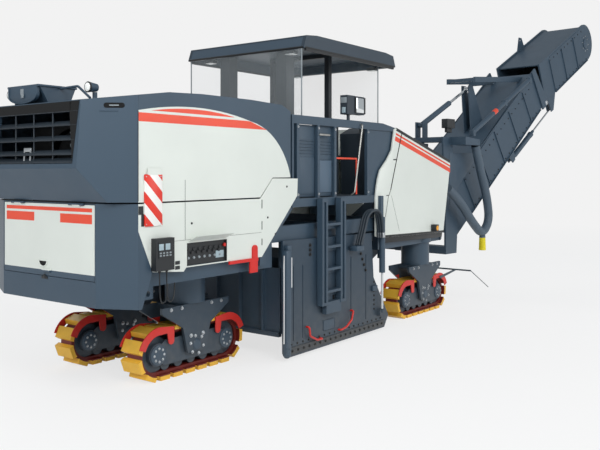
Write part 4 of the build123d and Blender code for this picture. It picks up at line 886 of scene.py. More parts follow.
@dataclass
class Hood:
    """Rear hood: dark shell, white sides with two stripes, grille, air box and work lamps."""

    half_width: float = 1.23
    film: float = 0.0012
    rear_x: float = -7.545
    # Points of the white side's upper edge, the first three and the last three on a parabola each
    arc_points: tuple[Flat, ...] = (
        (-7.55, 3.005),
        (-6.76, 3.085),
        (-5.80, 2.98),
        (-5.30, 2.74),
        (-5.045, 2.33),
    )
    # Lower edge, highest upper edge and margin below the arc of the two stripes
    main_stripe: Point = (2.895, 2.985, 0.004)
    thin_stripe: Point = (3.013, 3.085, 0.022)
    stripe_reach: float = 2.1
    hinge: Flat = (-5.07, 3.06)
    hinge_y: float = 0.70
    half_knuckle: float = 0.062
    lamp_y: Flat = (-0.64, 0.76)
    lamp_z: float = 3.262
    corner_foot: Flat = (-7.955, 0.76)
    corner_way: Flat = (0.6528, 0.7576)
    # Middle of each round end of the corner vent and the angle where its arc starts
    vent_ends: tuple[Flat, Flat] = ((0.462, 0.0 - pi / 2), (0.305, pi - pi / 2))
    vent_radius: float = 0.026
    vent_z: float = 3.052
    bulge_x: float = -7.95
    mouth_low: Flat = (0.70, 2.475)
    mouth_high: Flat = (0.785, 3.10)
    slat_z: tuple[float, ...] = (2.50, 2.583, 2.731, 2.879, 3.020)
    slat: tuple[Flat, ...] = ((-0.006, -0.020), (0.004, -0.028), (0.062, 0.020), (0.056, 0.030))
    stripe_tip: tuple[Flat, Flat] = ((-5.811, 2.978), (-5.468, 2.882))

    def arc_height(self, x: float) -> float:
        """Height of the white side's upper edge.

        Args:
            x: Place along the machine.

        Returns:
            Height of the edge there.
        """
        first, middle, last = self.arc_points[:3] if x <= self.arc_points[2][0] else self.arc_points[2:]
        total = 0.0
        for here, one, two in ((first, middle, last), (middle, last, first), (last, first, middle)):
            total += here[1] * (x - one[0]) * (x - two[0]) / ((here[0] - one[0]) * (here[0] - two[0]))
        return total

    def stripe_outline(self, low: float, high: float, margin: float) -> list[Flat]:
        """Outline of a stripe that dies out under the arc.

        Args:
            low: Height of its lower edge.
            high: Height of its upper edge where the arc leaves room.
            margin: Width of the white rim kept under the arc.

        Returns:
            Corner points.
        """
        count = 60
        xs = [self.rear_x + self.stripe_reach * step / count for step in range(count + 1)]
        inside = [x for x in xs if self.arc_height(x) - margin > low + 0.001]
        (x1, z1), (x2, z2) = self.stripe_tip
        slope = [z1 + (x - x1) * (z2 - z1) / (x2 - x1) for x in inside]
        top = [(x, min(high, self.arc_height(x) - margin, cut)) for x, cut in zip(inside, slope)]
        top = [(x, z) for x, z in top if z > low]
        return [(inside[0], low), (top[-1][0], low), *reversed(top)]

    def stripes(self) -> None:
        """Lay the two stripes on both sides."""
        for side in Side:
            y = side.span(self.half_width, self.half_width + self.film)
            film = Workpiece()
            for stripe in (self.main_stripe, self.thin_stripe):
                film.plate(self.stripe_outline(*stripe), y)
            film.build(f"hood_stripes_{side.label}", STRIPE_FILM, "hood_sides")

    def fittings(self) -> None:
        """Add the seams at the rear corners and the caps of the hinge pins."""
        dark = Workpiece()
        for side in Side:
            y = side.span(self.half_width - 0.002, self.half_width + 0.004)
            dark.box((-7.556, -7.548), y, (2.09, 3.0))
        dark.build("hood_latches", BLACK_PLASTIC, "hood_sides", soften=0.002)
        caps = Workpiece()
        x, z = self.hinge
        for knuckle in (-self.hinge_y, self.hinge_y):
            for way in (-1, 1):
                caps.bolt((x, knuckle + way * self.half_knuckle, z), (0, way, 0), 0.03)
        caps.build("hood_hinge_caps", ZINC, "platform")

    def lamps(self) -> None:
        """Add lens and rim to the two work lamps on the tail."""
        rims, lenses = Workpiece(), Workpiece()
        rim = [(0.0, 0.056), (0.6, 0.058), (1.0, 0.052), (1.0, 0.046)]
        glass = [(0.0, 0.047), (0.5, 0.040), (1.0, 0.018)]
        for y in self.lamp_y:
            rims.turned((-7.700, y, self.lamp_z), (-7.716, y, self.lamp_z), rim, 32)
            lenses.turned((-7.714, y, self.lamp_z), (-7.724, y, self.lamp_z), glass, 32)
        rims.build("work_lamp_rims", BLACK_PLASTIC, "air_box")
        lenses.build("work_lamp_lenses", CLEAR_LENS, "air_box")

    def intake(self) -> None:
        """Add the lid, the half-round end with its rolled rim, and the latch to the air box."""
        lid = Workpiece()
        lid.box((-7.785, -7.280), (0.105, 0.695), (3.316, 3.340))
        lid.build("air_box_lid", SLATE_PAINT, "air_box", soften=0.006)
        pan = Workpiece()
        turns = (-step * pi / 12 for step in range(13))
        outline = [(0.14, 3.325), (0.66, 3.325)]
        outline += [(0.40 + 0.26 * cos(turn), 3.225 + 0.085 * sin(turn)) for turn in turns]
        pan.prism(*([(x, y, z) for y, z in outline] for x in (-7.785, -7.745)))
        pan.build("air_box_pan", SLATE_PAINT, "air_box", soften=0.003)
        rim = Workpiece()
        rim.bar([(-7.788, y, z) for y, z in outline[1:]], 0.008)
        rim.build("air_box_rim", SLATE_PAINT, "air_box")
        latch = Workpiece()
        latch.box((-7.797, -7.783), (0.375, 0.425), (3.235, 3.300))
        latch.box((-7.803, -7.793), (0.360, 0.405), (3.200, 3.240))
        latch.build("air_box_latch", GREY_PLASTIC, "air_box", soften=0.003)

    def corner_plane(self, side: Side) -> Matrix:
        """Matrix of a slanted rear corner: local X along the face, local Y square to it, Z up.

        Args:
            side: Side of the machine.

        Returns:
            Matrix that takes the corner's points into the frame.
        """
        along = Vector((self.corner_way[0], side.value * self.corner_way[1], 0.0))
        across = Vector((0.0, 0.0, 1.0)).cross(along)
        turn = Matrix((along, across, (0.0, 0.0, 1.0))).transposed().to_4x4()
        return Matrix.Translation((self.corner_foot[0], side.value * self.corner_foot[1], 0.0)) @ turn

    def corners(self) -> None:
        """Close each rear corner with its skin, and add the oval vent and the folded edge below it."""
        skin_outline = [(0.314, 2.078), (0.6205, 2.078), (0.6205, 3.157), (0.054, 3.108), (0.008, 2.42)]
        ends = [(middle, start + step * pi / 8) for middle, start in self.vent_ends for step in range(9)]
        radius = self.vent_radius
        oval = [(middle + radius * cos(turn), self.vent_z + radius * sin(turn)) for middle, turn in ends]
        for side in Side:
            skin, vent, lip, fold = (Workpiece(self.corner_plane(side)) for _ in range(4))
            fold_y = side.value * 0.002
            skin.plate(skin_outline, side.span(-0.004, 0.0015))
            # The vent's opening is a near-black oval plate: painted shade
            vent.plate(oval, side.span(0.0, 0.004))
            lip.box((0.335, 0.43), side.span(0.003, 0.006), (3.046, 3.058))
            fold.bar([(0.24, fold_y, 2.992), (0.42, fold_y, 2.992)], 0.006)
            skin.build(f"hood_corner_{side.label}", SLATE_PAINT, "hood_shell")
            vent.build(f"corner_vent_{side.label}", SHADOW_GAP, "hood_shell")
            lip.build(f"corner_vent_lip_{side.label}", GREY_PLASTIC, "hood_shell")
            fold.build(f"corner_fold_{side.label}", SLATE_PAINT, "hood_shell")

    def lean_x(self, z: float) -> float:
        """Place of the leaning rear face at a height."""
        return self.bulge_x + (z - 2.42) * 0.0435

    def surround(self) -> None:
        """Widen the mouth's dark surround, near-black strips that are painted shade, up to the deck's edge.
        """
        dark = Workpiece()
        (low, z_low), (high, z_high) = self.mouth_low, self.mouth_high
        flank = [(low, z_low), (high, z_high), (0.63, z_high), (0.63, 3.02)]
        strips = [[(side.value * y, z) for y, z in flank] for side in Side]
        strips.append([(-0.65, 3.0), (0.65, 3.0), (0.65, z_high), (-0.65, z_high)])
        for strip in strips:
            dark.prism(*([(self.lean_x(z) + depth, y, z) for y, z in strip] for depth in (-0.003, 0.004)))
        dark.build("mouth_painted_shade", SHADOW_GAP, "hood_shell")

    def slats(self) -> None:
        """Hang the folded slats and their three uprights in the mouth, in place of the CAD's grille."""
        slats = Workpiece()
        (low, z_low), (high, z_high) = self.mouth_low, self.mouth_high
        for z in self.slat_z:
            half = low + (z - z_low) * (high - low) / (z_high - z_low) - 0.006
            x = self.lean_x(z)
            slats.prism(*([(x + depth, y, z + rise) for depth, rise in self.slat] for y in (-half, half)))
        for y in (-0.33, 0.0, 0.33):
            slats.box((self.bulge_x + 0.036, self.bulge_x + 0.048), (y - 0.008, y + 0.008), (2.47, 3.01))
        grille = slats.build("mouth_slats", SLAT_PAINT, "rear_grille", soften=0.002)
        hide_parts("rear_grille")

    def behind_mouth(self) -> None:
        """Add the bracket at the mouth's lower edge, and the cooler's pipes and cap behind the slats."""
        bracket = Workpiece()
        for y in (0.055, 0.165):
            foot = [(-7.925, 2.468), (-7.885, 2.468), (-7.897, 2.640), (-7.915, 2.640)]
            bracket.plate(foot, (y - 0.012, y + 0.012))
        bracket.box((-7.919, -7.895), (0.055, 0.165), (2.600, 2.640))
        bracket.build("mouth_bracket", ZINC, "hood_shell", soften=0.002)
        pipes = Workpiece()
        wide = [(-7.46, -0.22, 2.80), (-7.62, -0.24, 2.80), (-7.62, -0.36, 2.84), (-7.46, -0.38, 2.90)]
        thin = [(-7.46, -0.47, 2.86), (-7.60, -0.47, 2.84), (-7.60, -0.50, 2.72), (-7.46, -0.50, 2.70)]
        pipes.bar(wide, 0.026)
        pipes.bar(thin, 0.020)
        pipes.build("cooler_pipes", ZINC, "cooler_pack")
        cap = Workpiece()
        filler = [(0.0, 0.022), (0.6, 0.022), (0.62, 0.045), (0.9, 0.040), (1.0, 0.02)]
        cap.turned((-7.456, -0.27, 2.67), (-7.64, -0.27, 2.67), filler, 28)
        cap.build("cooler_filler_cap", GREY_PLASTIC, "cooler_pack")

    def build(self) -> None:
        """Dress the CAD nodes and add all the trim."""
        dress(SLATE_PAINT, "hood_shell", "air_box")
        dress(WHITE_PAINT, "hood_sides")
        self.stripes()
        self.fittings()
        self.lamps()
        self.intake()
        self.corners()
        self.surround()
        self.slats()
        self.behind_mouth()


@dataclass
class Tail:
    """Tail shell with the white rear door, its stripes and handle, and the cooler behind the grille."""

    door_x: float = -7.75
    slate_edges: tuple[Flat, Flat] = ((1.20, 1.330), (2.046, 2.10))
    stripe_half: float = 0.76
    plate_half: float = 0.232
    grip: Flat = (0.067, 1.425)
    thin_stripe: Flat = (1.973, 2.012)
    main_stripe: Flat = (1.852, 1.948)
    film: float = 0.0012

    def build(self) -> None:
        """Dress the CAD nodes and add the door's trim."""
        dress(SLATE_PAINT, "tail_shell")
        edges = tuple(Band(SLATE, (("z", *edge),)) for edge in self.slate_edges)
        # The door's off-white paint with the slate of the shell on its two edges
        dress(Paint("paint_off_white_door", OFF_WHITE, roughness=0.42, bands=edges), "rear_door")
        dress(Fins(), "cooler_pack")
        dress(CAST_IRON, "engine_block")
        skin = (self.door_x - self.film, self.door_x)
        film = Workpiece()
        film.box(skin, (-self.stripe_half, self.stripe_half), self.thin_stripe)
        for side in Side:
            film.box(skin, side.span(self.plate_half, self.stripe_half), self.main_stripe)
        film.build("rear_door_stripes", STRIPE_FILM, "rear_door")
        self.handle()
        seams = Workpiece()
        seams.box((self.door_x - 0.002, self.door_x + 0.008), (-0.82, 0.82), (2.0605, 2.0725))
        seams.build("tail_seam", SHADOW_GAP, "tail_shell")

    def handle(self) -> None:
        """Add the half-moon grip of the door with its pale lip, and the lock below the door."""
        centre_y, z = self.grip
        turns = (pi + step * pi / 14 for step in range(15))
        arc = [(centre_y + 0.075 * cos(turn), z + 0.060 * sin(turn)) for turn in turns]
        # The grip's recess is a near-black half-moon plate: painted shade
        cup = Workpiece(Matrix.Rotation(radians(90), 4, "Z"))
        cup.plate(arc, (-self.door_x, 0.004 - self.door_x))
        cup.build("rear_door_handle_cup", SHADOW_GAP, "rear_door")
        lip = Workpiece()
        rim = [(self.door_x - 0.006, y, height) for y, height in arc]
        lip.bar(rim, 0.007)
        lip.bar([(self.door_x - 0.004, centre_y + reach, z + 0.004) for reach in (-0.085, 0.085)], 0.006)
        lip.build("rear_door_handle_lip", WHITE_PAINT, "rear_door")
        lock = Workpiece()
        lock.box((self.door_x - 0.006, self.door_x + 0.002), (-0.015, 0.095), (1.232, 1.262))
        knob = [(0.0, 0.024), (0.6, 0.023), (1.0, 0.016)]
        lock.turned((self.door_x - 0.004, 0.04, 1.262), (self.door_x - 0.014, 0.04, 1.262), knob, 24)
        lock.build("tail_lock", BLACK_PLASTIC, "tail_shell", soften=0.003)


@dataclass
class SideTrim:
    """Lower white side panels: seam lines, latches, chevron plate, control recess and lever."""

    half_width: float = 1.23
    sheet_x: Flat = (-7.477, -7.237)
    sheet_z: Flat = (1.831, 2.362)
    sheet_face: float = -1.2445
    recess_back: float = -1.206
    box_face: float = -1.3118
    latch_x: float = -5.61
    latch_spans: tuple[Flat, ...] = ((1.945, 2.05), (1.69, 1.79), (1.50, 1.58))

    def seams(self) -> None:
        """Add the fine joints, the hinge leaves and the panel locks on both sides."""
        marks = Workpiece()
        for side in Side:
            y = side.span(self.half_width - 0.002, self.half_width + 0.0025)
            for low, high in self.latch_spans:
                marks.box((self.latch_x - 0.006, self.latch_x + 0.006), y, (low, high))
            marks.box((-7.10, -5.62), y, (1.655, 1.6575))
            marks.box((-6.90, -6.897), y, (1.66, 2.30))
            for z in (1.372, 1.424):
                marks.box((-7.045, -6.977), y, (z - 0.019, z + 0.019))
            marks.box((-7.548, -7.485), y, (1.955, 2.040))
            marks.box((-7.512, -7.478), y, (1.835, 1.960))
        marks.build("side_panel_seams", BLACK_PLASTIC, "side_panels")
        locks = Workpiece()
        for side in Side:
            for x, z in ((-5.50, 1.83), (-5.12, 2.20), (-5.35, 1.62), (-6.80, 1.83)):
                seat = (x, side.value * self.half_width, z)
                head = (x, side.value * (self.half_width + 0.008), z)
                locks.turned(seat, head, [(0.0, 0.013), (0.7, 0.012), (1.0, 0.008)], 16)
        locks.build("side_panel_locks", BLACK_PLASTIC, "side_panels")

    def chevron_plate(self) -> None:
        """Lay the chevron sheeting on its plate."""
        sheet = Workpiece()
        sheet.box(self.sheet_x, (self.sheet_face, -self.half_width - 0.0005), self.sheet_z)
        sheet.build("chevron_sheeting", Chevrons(), "side_panels", soften=0.012)
        screws = Workpiece()
        for x in (-7.455, -7.259):
            for z in (1.855, 2.338):
                head = (x, self.sheet_face - 0.0035, z)
                screws.turned((x, self.sheet_face, z), head, [(0.0, 0.007), (1.0, 0.005)], 12)
        screws.build("chevron_screws", ZINC, "side_panels")

    def control_recess(self) -> None:
        """Fill the recess with knobs, push buttons, a display and a stop button."""
        knobs, caps, screens = Workpiece(), Workpiece(), Workpiece()
        back = self.recess_back
        knob = [(0.0, 0.022), (0.6, 0.021), (1.0, 0.014)]
        for step in range(7):
            x = -6.83 + 0.082 * step
            knobs.turned((x, back, 1.545), (x, -1.224, 1.545), knob, 20)
            caps.turned((x, back, 1.455), (x, -1.22, 1.455), [(0.0, 0.016), (1.0, 0.013)], 16)
        screens.box((-6.40, -6.27), (-1.212, -1.205), (1.42, 1.50))
        knobs.build("recess_knobs", BLACK_PLASTIC, "control_boxes")
        caps.build("recess_push_buttons", GREY_PLASTIC, "control_boxes")
        screens.build("recess_display", DISPLAY, "control_boxes", soften=0.002)
        stop = Workpiece()
        mushroom = [(0.0, 0.012), (0.4, 0.012), (0.45, 0.021), (1.0, 0.019)]
        stop.turned((-6.27, back, 1.56), (-6.27, -1.232, 1.56), mushroom, 24)
        stop.build("recess_stop_button", RED_PAINT, "control_boxes")

    def dark_box(self) -> None:
        """Dress the dark box below the chevrons: displays, keys and the glands of its leads."""
        screens = Workpiece()
        for x in (-7.315, -7.225):
            screens.box((x - 0.032, x + 0.032), (-1.3145, self.box_face), (1.585, 1.65))
        screens.build("dark_box_displays", DISPLAY, "control_boxes", soften=0.002)
        keys = Workpiece()
        for row in range(2):
            for column in range(4):
                x, z = -7.325 + 0.045 * column, 1.555 - 0.026 * row
                keys.box((x - 0.014, x + 0.014), (-1.3155, self.box_face), (z - 0.008, z + 0.008))
        keys.build("dark_box_keys", GREY_PLASTIC, "control_boxes", soften=0.002)
        glands = Workpiece()
        gland = [(0.0, 0.016), (0.5, 0.016), (1.0, 0.010)]
        for x in (-7.30, -7.20):
            glands.turned((x, -1.268, 1.385), (x, -1.268, 1.345), gland, 16)
        glands.build("dark_box_glands", BLACK_PLASTIC, "control_boxes")

    def build(self) -> None:
        """Dress the CAD nodes and add all the trim."""
        dress(WHITE_PAINT, "side_panels")
        dress(BLACK_PLASTIC, "control_boxes")
        dress(RED_PAINT, "lock_lever")
        self.seams()
        self.chevron_plate()
        self.control_recess()
        self.dark_box()


@dataclass
class Platform:
    """Operator's platform: floor plate, cabinets, rails, seats, consoles and the boxes on the rail."""

    half_width: float = 1.20
    floor_z: float = 2.04
    rear_x: float = -4.97
    front_x: float = -2.62
    seat_y: float = 0.9
    cushion_size: Point = (0.43, 0.40, 0.10)
    mirror_y: float = 1.2305

    def cabinets(self) -> None:
        """Add the cabinets with doors, louvres and handles, and the inner walls at the entry."""
        doors, fronts, handles, louvres = Workpiece(), Workpiece(), Workpiece(), Workpiece()
        for side in Side:
            wall = self.half_width - 0.045
            outer = side.value * wall
            sheet, raised = side.span(wall - 0.02, wall), side.span(wall, wall + 0.012)
            fronts.box((-4.82, -4.41), sheet, (2.055, 3.005))
            fronts.box((-4.36, -4.00), sheet, (2.055, 3.005))
            fronts.box((-4.79, -4.44), raised, (2.09, 2.58))
            doors.box((-4.335, -4.025), raised, (2.105, 2.545))
            for x_low, x_high in ((-4.78, -4.45), (-4.33, -4.03)):
                for step in range(5):
                    z = 2.625 + 0.042 * step
                    louvres.box((x_low, x_high), raised, (z, z + 0.013))
            grip = side.value * (self.half_width + 0.018)
            bow = [(-4.36, outer), (-4.36, grip), (-4.145, grip), (-4.145, outer)]
            handles.bar([(x, y, 2.885) for x, y in bow], 0.016, 0.02)
        walls = Workpiece()
        for side in Side:
            walls.box((-3.985, -3.33), side.span(0.80, 0.815), (2.06, 3.10))
        walls.build("entry_inner_walls", DARK_PAINT, "platform", soften=0.004)
        fronts.build("platform_cabinets", SLATE_PAINT, "platform", soften=0.006)
        doors.build("cabinet_doors", PALE_SLATE_PAINT, "platform", soften=0.012)
        louvres.build("cabinet_louvres", SLATE_PAINT, "platform", soften=0.002)
        handles.build("entry_grab_handles", WORN_STEEL, "platform")

    def rails(self) -> None:
        """Add the bright leaning hand rails at the entry, the red bar across it and the socket bolts."""
        bright, bolts, bars = Workpiece(), Workpiece(), Workpiece()
        for side in Side:
            y = side.value * (self.half_width - 0.03)
            out = side.value * (self.half_width + 0.035)
            leaning = [(-3.33, y, 3.085), (-3.335, out, 3.06), (-3.545, out, 2.10), (-3.55, y, 2.05)]
            bright.bar(leaning, 0.013, 0.03)
            bars.bar([(-3.955, y, 2.575), (-3.40, y, 2.575)], 0.014)
            for x in (-4.84, -4.38, -3.98, -3.12):
                face = side.value * self.half_width
                for z in (2.09, 2.97):
                    bolts.bolt((x, face, z), side.way.value, 0.02)
            bars.bar([(-3.40, y, 2.575), (-3.40, y, 2.06)], 0.012)
        bars.build("entry_red_bars", STRIPE_FILM, "platform")
        bright.build("entry_bright_rails", WORN_STEEL, "platform")
        bolts.build("platform_bolts", ZINC, "platform")

    def floor(self) -> None:
        """Lay the checker plate."""
        plate = Workpiece()
        reach = (self.rear_x + 0.05, self.front_x - 0.03)
        plate.box(reach, (-1.11, 1.11), (self.floor_z, self.floor_z + 0.004))
        plate.build("platform_checker_plate", TreadPlate(), "platform")

    def seats(self) -> None:
        """Replace the plain seats by cushions on a pan with a post."""
        pans = Workpiece()
        post = [(0.0, 0.11), (0.06, 0.11), (0.08, 0.05), (0.9, 0.05), (1.0, 0.09)]
        for side in Side:
            y = side.value * self.seat_y
            pans.box((-4.34, -3.87), (y - 0.18, y + 0.18), (2.405, 2.425))
            pans.turned((-4.10, y, self.floor_z), (-4.10, y, 2.405), post)
            pans.box((-4.42, -4.395), (y - 0.16, y + 0.16), (2.45, 2.90))
        frame_piece = pans.build("seat_pans", BLACK_PAINT, "seats", soften=0.004)
        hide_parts("seats")
        for side in Side:
            y = side.value * self.seat_y
            self.cushion(f"seat_cushion_{side.label}", Vector((-4.085, y, 2.475)), 0.06)
            self.cushion(f"seat_back_{side.label}", Vector((-4.335, y, 2.73)), radians(-84))

    def cushion(self, name: str, centre: Vector, lean: float) -> None:
        """Args:
            name: Name of the piece.
            centre: Middle of the cushion.
            lean: Turn about Y.
        """
        rows, columns = 24, 16
        length, width, thickness = Vector(self.cushion_size)
        turn = Matrix.Rotation(-lean, 3, "Y")
        points, faces = [], []
        for top in (1, -1):
            for i in range(rows + 1):
                for j in range(columns + 1):
                    u, v = 2 * i / rows - 1, 2 * j / columns - 1
                    crown = max(0.0, 1 - u**6) ** 0.5 * max(0.0, 1 - v**6) ** 0.5
                    channel = 0.12 * max(0.0, 1 - abs((u * 2.5) % 1 - 0.5) * 12) if top > 0 else 0.0
                    pull = 1 - 0.04 * (1 - abs(v) ** 2) * abs(u) ** 4
                    height = top * thickness / 2 * (crown - channel * crown)
                    points.append(centre + turn @ Vector((u * length / 2 * pull, v * width / 2, height)))
        layer = (rows + 1) * (columns + 1)
        for top in (0, 1):
            for i in range(rows):
                for j in range(columns):
                    first = top * layer + i * (columns + 1) + j
                    quad = (first, first + 1, first + columns + 2, first + columns + 1)
                    faces.append(quad if top else quad[::-1])
        work = Workpiece()
        work.add(points, faces)
        piece = work.build(name, VINYL, "seats")
        mesh = bmesh.new()
        mesh.from_mesh(piece.data)
        bmesh.ops.remove_doubles(mesh, verts=mesh.verts, dist=0.0004)
        mesh.to_mesh(piece.data)
        mesh.free()
        piece.data.polygons.foreach_set("use_smooth", [True] * len(piece.data.polygons))

    def consoles(self) -> None:
        """Dress the consoles and the mirror and control box on the rail of each side."""
        screens, knobs, mirrors, keys, rims = (Workpiece() for _ in range(5))
        for side in Side:
            middle, rear = side.value * 1.175, -3.7215
            keys.box((rear - 0.004, rear + 0.0015), (middle - 0.04, middle + 0.06), (3.36, 3.44))
            screens.box((rear - 0.003, rear + 0.0015), (middle - 0.02, middle + 0.04), (3.22, 3.30))
            glass = side.span(self.mirror_y - 0.0035, self.mirror_y + 0.0045)
            mirrors.box((-3.505, -3.275), glass, (3.235, 3.445))
            for x in ((-3.283, -3.255), (-3.525, -3.497)):
                rims.box(x, side.span(self.mirror_y - 0.006, self.mirror_y + 0.009), (3.222, 3.458))
            lever = [(0.0, 0.010), (0.5, 0.010), (0.55, 0.02), (1.0, 0.016)]
            for step in range(4):
                x, y = -2.95 + 0.07 * step, side.value * 0.95
                knobs.turned((x, y, 2.98), (x, y, 3.075), lever, 16)
        keys.build("rail_box_keypads", GREY_PLASTIC, "consoles", soften=0.002)
        screens.build("rail_box_displays", DISPLAY, "consoles", soften=0.002)
        mirrors.build("rail_mirrors", MIRROR, "consoles", soften=0.002)
        rims.build("rail_mirror_rims", BLACK_PLASTIC, "consoles", soften=0.004)
        knobs.build("console_levers", BLACK_PLASTIC, "consoles")

    def build(self) -> None:
        """Dress the CAD nodes and add all the pieces."""
        rail = Band("#1F2A34", (("z", 3.125, 3.40),))
        # Slate paint with the upper rail darker as painted shade, as it reads against the sky
        dress(Paint("paint_slate_platform_rail_painted_shade", SLATE, bands=(rail,)), "platform")
        dress(DARK_PAINT, "consoles")
        self.cabinets()
        self.rails()
        self.floor()
        self.seats()
        self.consoles()


@dataclass
class Canopy:
    """Canopy: roof with rolled edges, posts with bolts, panes with thin frames and roof lamps."""

    roof_x: Flat = (-4.55, -2.10)
    roof_half: float = 1.08
    seal_z: float = 4.052

    def build(self) -> None:
        """Dress the CAD nodes and add the trim."""
        under = Band("#3E4F5E", (("z", 4.0, 4.19), ("across", 0.0, 1.025)))
        # Dark slate roof paint with a lighter underside: painted light from the floor
        dress(Paint("paint_slate_roof_painted_underside_light", ROOF_SLATE, bands=(under,)), "canopy_roof")
        dress(POST_PAINT, "canopy_posts")
        dress(Pane(), "canopy_glass")
        rolls, dark, frames, lamps, glasses = (Workpiece() for _ in range(5))
        rear, front = self.roof_x
        for side in Side:
            edge = self.roof_half - 0.012
            y = side.value * edge
            dark.bar([(rear + 0.03, y, self.seal_z), (front - 0.03, y, self.seal_z)], 0.016)
            lip = side.span(edge - 0.018, edge + 0.012)
            dark.box((rear + 0.05, front - 0.05), lip, (4.008, self.seal_z))
            rolls.bar([(rear + 0.05, y, 4.14), (front - 0.07, y, 4.14)], 0.008)
        for x in (rear + 0.012, front - 0.03):
            dark.bar([(x, way * (self.roof_half - 0.02), self.seal_z) for way in (-1, 1)], 0.016)
        rolls.build("roof_rolled_edges", ROOF_PAINT, "canopy_roof")
        dark.build("roof_edge_seal", BLACK_PAINT, "canopy_roof")
        for x, half in ((-4.536, 1.03), (-2.506, 1.0)):
            for y in (-half, half):
                frames.box((x - 0.008, x + 0.008), (y - 0.006, y + 0.006), (3.135, 4.05))
            frames.box((x - 0.008, x + 0.008), (-half, half), (3.132, 3.142))
        frames.build("pane_edge_profiles", GREY_PLASTIC, "canopy_glass", soften=0.002)
        for y in (-0.75, 0.75):
            for x, out in ((-4.40, -1), (-2.26, 1)):
                lamps.box((x - 0.05, x + 0.05), (y - 0.08, y + 0.08), (4.0, 4.05))
                glasses.box((x - 0.055, x + 0.055), (y - 0.065, y + 0.065), (3.994, 4.0))
        lamps.build("roof_lamp_housings", BLACK_PLASTIC, "canopy_roof", soften=0.006)
        glasses.build("roof_lamp_lenses", CLEAR_LENS, "canopy_roof", soften=0.002)


@dataclass
class FrontBody:
    """White front body: black band and two stripes along the sloping top edge, wings, seams and lamps."""

    half_width: float = 1.23
    film: float = 0.0012
    top_line: tuple[Flat, Flat] = ((-2.33, 3.07), (-0.43, 2.585))
    rear_line: tuple[Flat, Flat] = ((-2.73, 1.39), (-2.33, 3.07))
    # Distances below the top edge of the thin and the wide stripe
    stripes: tuple[Flat, Flat] = ((0.085, 0.115), (0.14, 0.215))
    lamp: Flat = (-1.11, 1.443)

    def band_outline(self, from_top: float, to_top: float) -> list[Flat]:
        """Outline of a band along the sloping top edge.

        Args:
            from_top: Distance of its upper edge below the top edge.
            to_top: Distance of its lower edge below the top edge.

        Returns:
            Corner points.
        """
        (x1, z1), (x2, z2) = self.top_line
        slope = (z2 - z1) / (x2 - x1)
        lean = (self.rear_line[1][0] - self.rear_line[0][0]) / (self.rear_line[1][1] - self.rear_line[0][1])
        corners = []
        for drop in (from_top, to_top):
            rear = x1 - drop * lean / (1 + slope * lean) + 0.004
            front = x2 - 0.004
            pair = [(rear, z1 + slope * (rear - x1) - drop), (front, z1 + slope * (front - x1) - drop)]
            corners += pair if not corners else reversed(pair)
        return corners

    def bands(self) -> None:
        """Lay the black band and the two stripes on both sides."""
        for side in Side:
            y = side.span(self.half_width, self.half_width + self.film)
            black, red = Workpiece(), Workpiece()
            black.plate(self.band_outline(0.0, 0.05), y)
            for stripe in self.stripes:
                red.plate(self.band_outline(*stripe), y)
            black.build(f"front_black_band_{side.label}", BLACK_PAINT, "front_body")
            red.build(f"front_stripes_{side.label}", STRIPE_FILM, "front_body")

    def seams(self) -> None:
        """Add the joints of the side panels."""
        joints = (
            # the leaning joint behind the stripes, its two steps, and its lower run to the edge strip
            [(-2.163, 3.022), (-2.141, 3.018), (-2.503, 2.104), (-2.525, 2.106)],
            [(-2.43, 2.565), (-2.335, 2.565), (-2.335, 2.582), (-2.43, 2.582)],
            [(-2.520, 2.106), (-2.508, 2.104), (-2.560, 2.020), (-2.570, 2.026)],
            [(-2.640, 2.020), (-2.566, 2.020), (-2.566, 2.030), (-2.640, 2.030)],
            [(-2.580, 2.020), (-2.572, 2.020), (-2.668, 1.700), (-2.676, 1.700)],
        )
        seams = Workpiece()
        for side in Side:
            for joint in joints:
                seams.plate(joint, side.span(self.half_width, self.half_width + 0.002))
            fold = [(-2.49, 2.02), (-2.486, 2.02), (-2.24, 1.46), (-2.244, 1.46)]
            seams.plate(fold, side.span(self.half_width - 0.001, self.half_width + 0.0015))
        seams.build("front_body_seams", SHADOW_GAP, "front_body")

    def skirts(self) -> None:
        """Add the wings behind the body, the dark aprons below it and the strip along its lower edge."""
        strip, wings, apron = (Workpiece() for _ in range(3))
        wing = [(-2.95, 1.42), (-2.70, 1.39), (-2.335, 3.055), (-2.385, 3.045), (-2.47, 2.72)]
        wing += [(-2.62, 2.565), (-2.82, 2.41), (-2.89, 2.26), (-2.93, 2.11), (-2.95, 2.0)]
        skirt = [(-2.72, 1.392), (-0.70, 1.342), (-0.72, 1.262), (-2.70, 1.302)]
        for side in Side:
            wings.plate(wing, side.span(1.201, 1.229))
            apron.plate(skirt, side.span(1.18, 1.212))
            lip = side.span(self.half_width - 0.03, self.half_width + 0.002)
            strip.plate([(-2.73, 1.39), (-0.70, 1.34), (-0.69, 1.375), (-2.722, 1.425)], lip)
        strip.build("front_body_edge_strip", BLACK_PAINT, "front_body", soften=0.004)
        wings.build("front_body_wings", WHITE_PAINT, "front_body", soften=0.004)
        apron.build("front_body_aprons", BLACK_PAINT, "front_body", soften=0.004)

    def marker_lamps(self) -> None:
        """Add the square marker lamp with its amber lens on each side."""
        lamps, lenses = Workpiece(), Workpiece()
        lens = [(0.0, 0.042), (0.6, 0.038), (1.0, 0.018)]
        depth = self.half_width + 0.095
        x, z = self.lamp
        for side in Side:
            face = side.value * depth
            lamps.box((x - 0.055, x + 0.055), side.span(self.half_width, depth), (z - 0.058, z + 0.057))
            lenses.turned((x, face, z), (x, face + side.value * 0.012, z), lens, 28)
        lamps.build("front_marker_lamps", BLACK_PLASTIC, "front_body", soften=0.008)
        lenses.build("front_marker_lenses", AMBER_LENS, "front_body")

    def build(self) -> None:
        """Dress the CAD nodes and add the trim."""
        dress(WHITE_PAINT, "front_body")
        dress(SLATE_PAINT, "front_trim")
        self.bands()
        self.seams()
        self.skirts()
        self.marker_lamps()


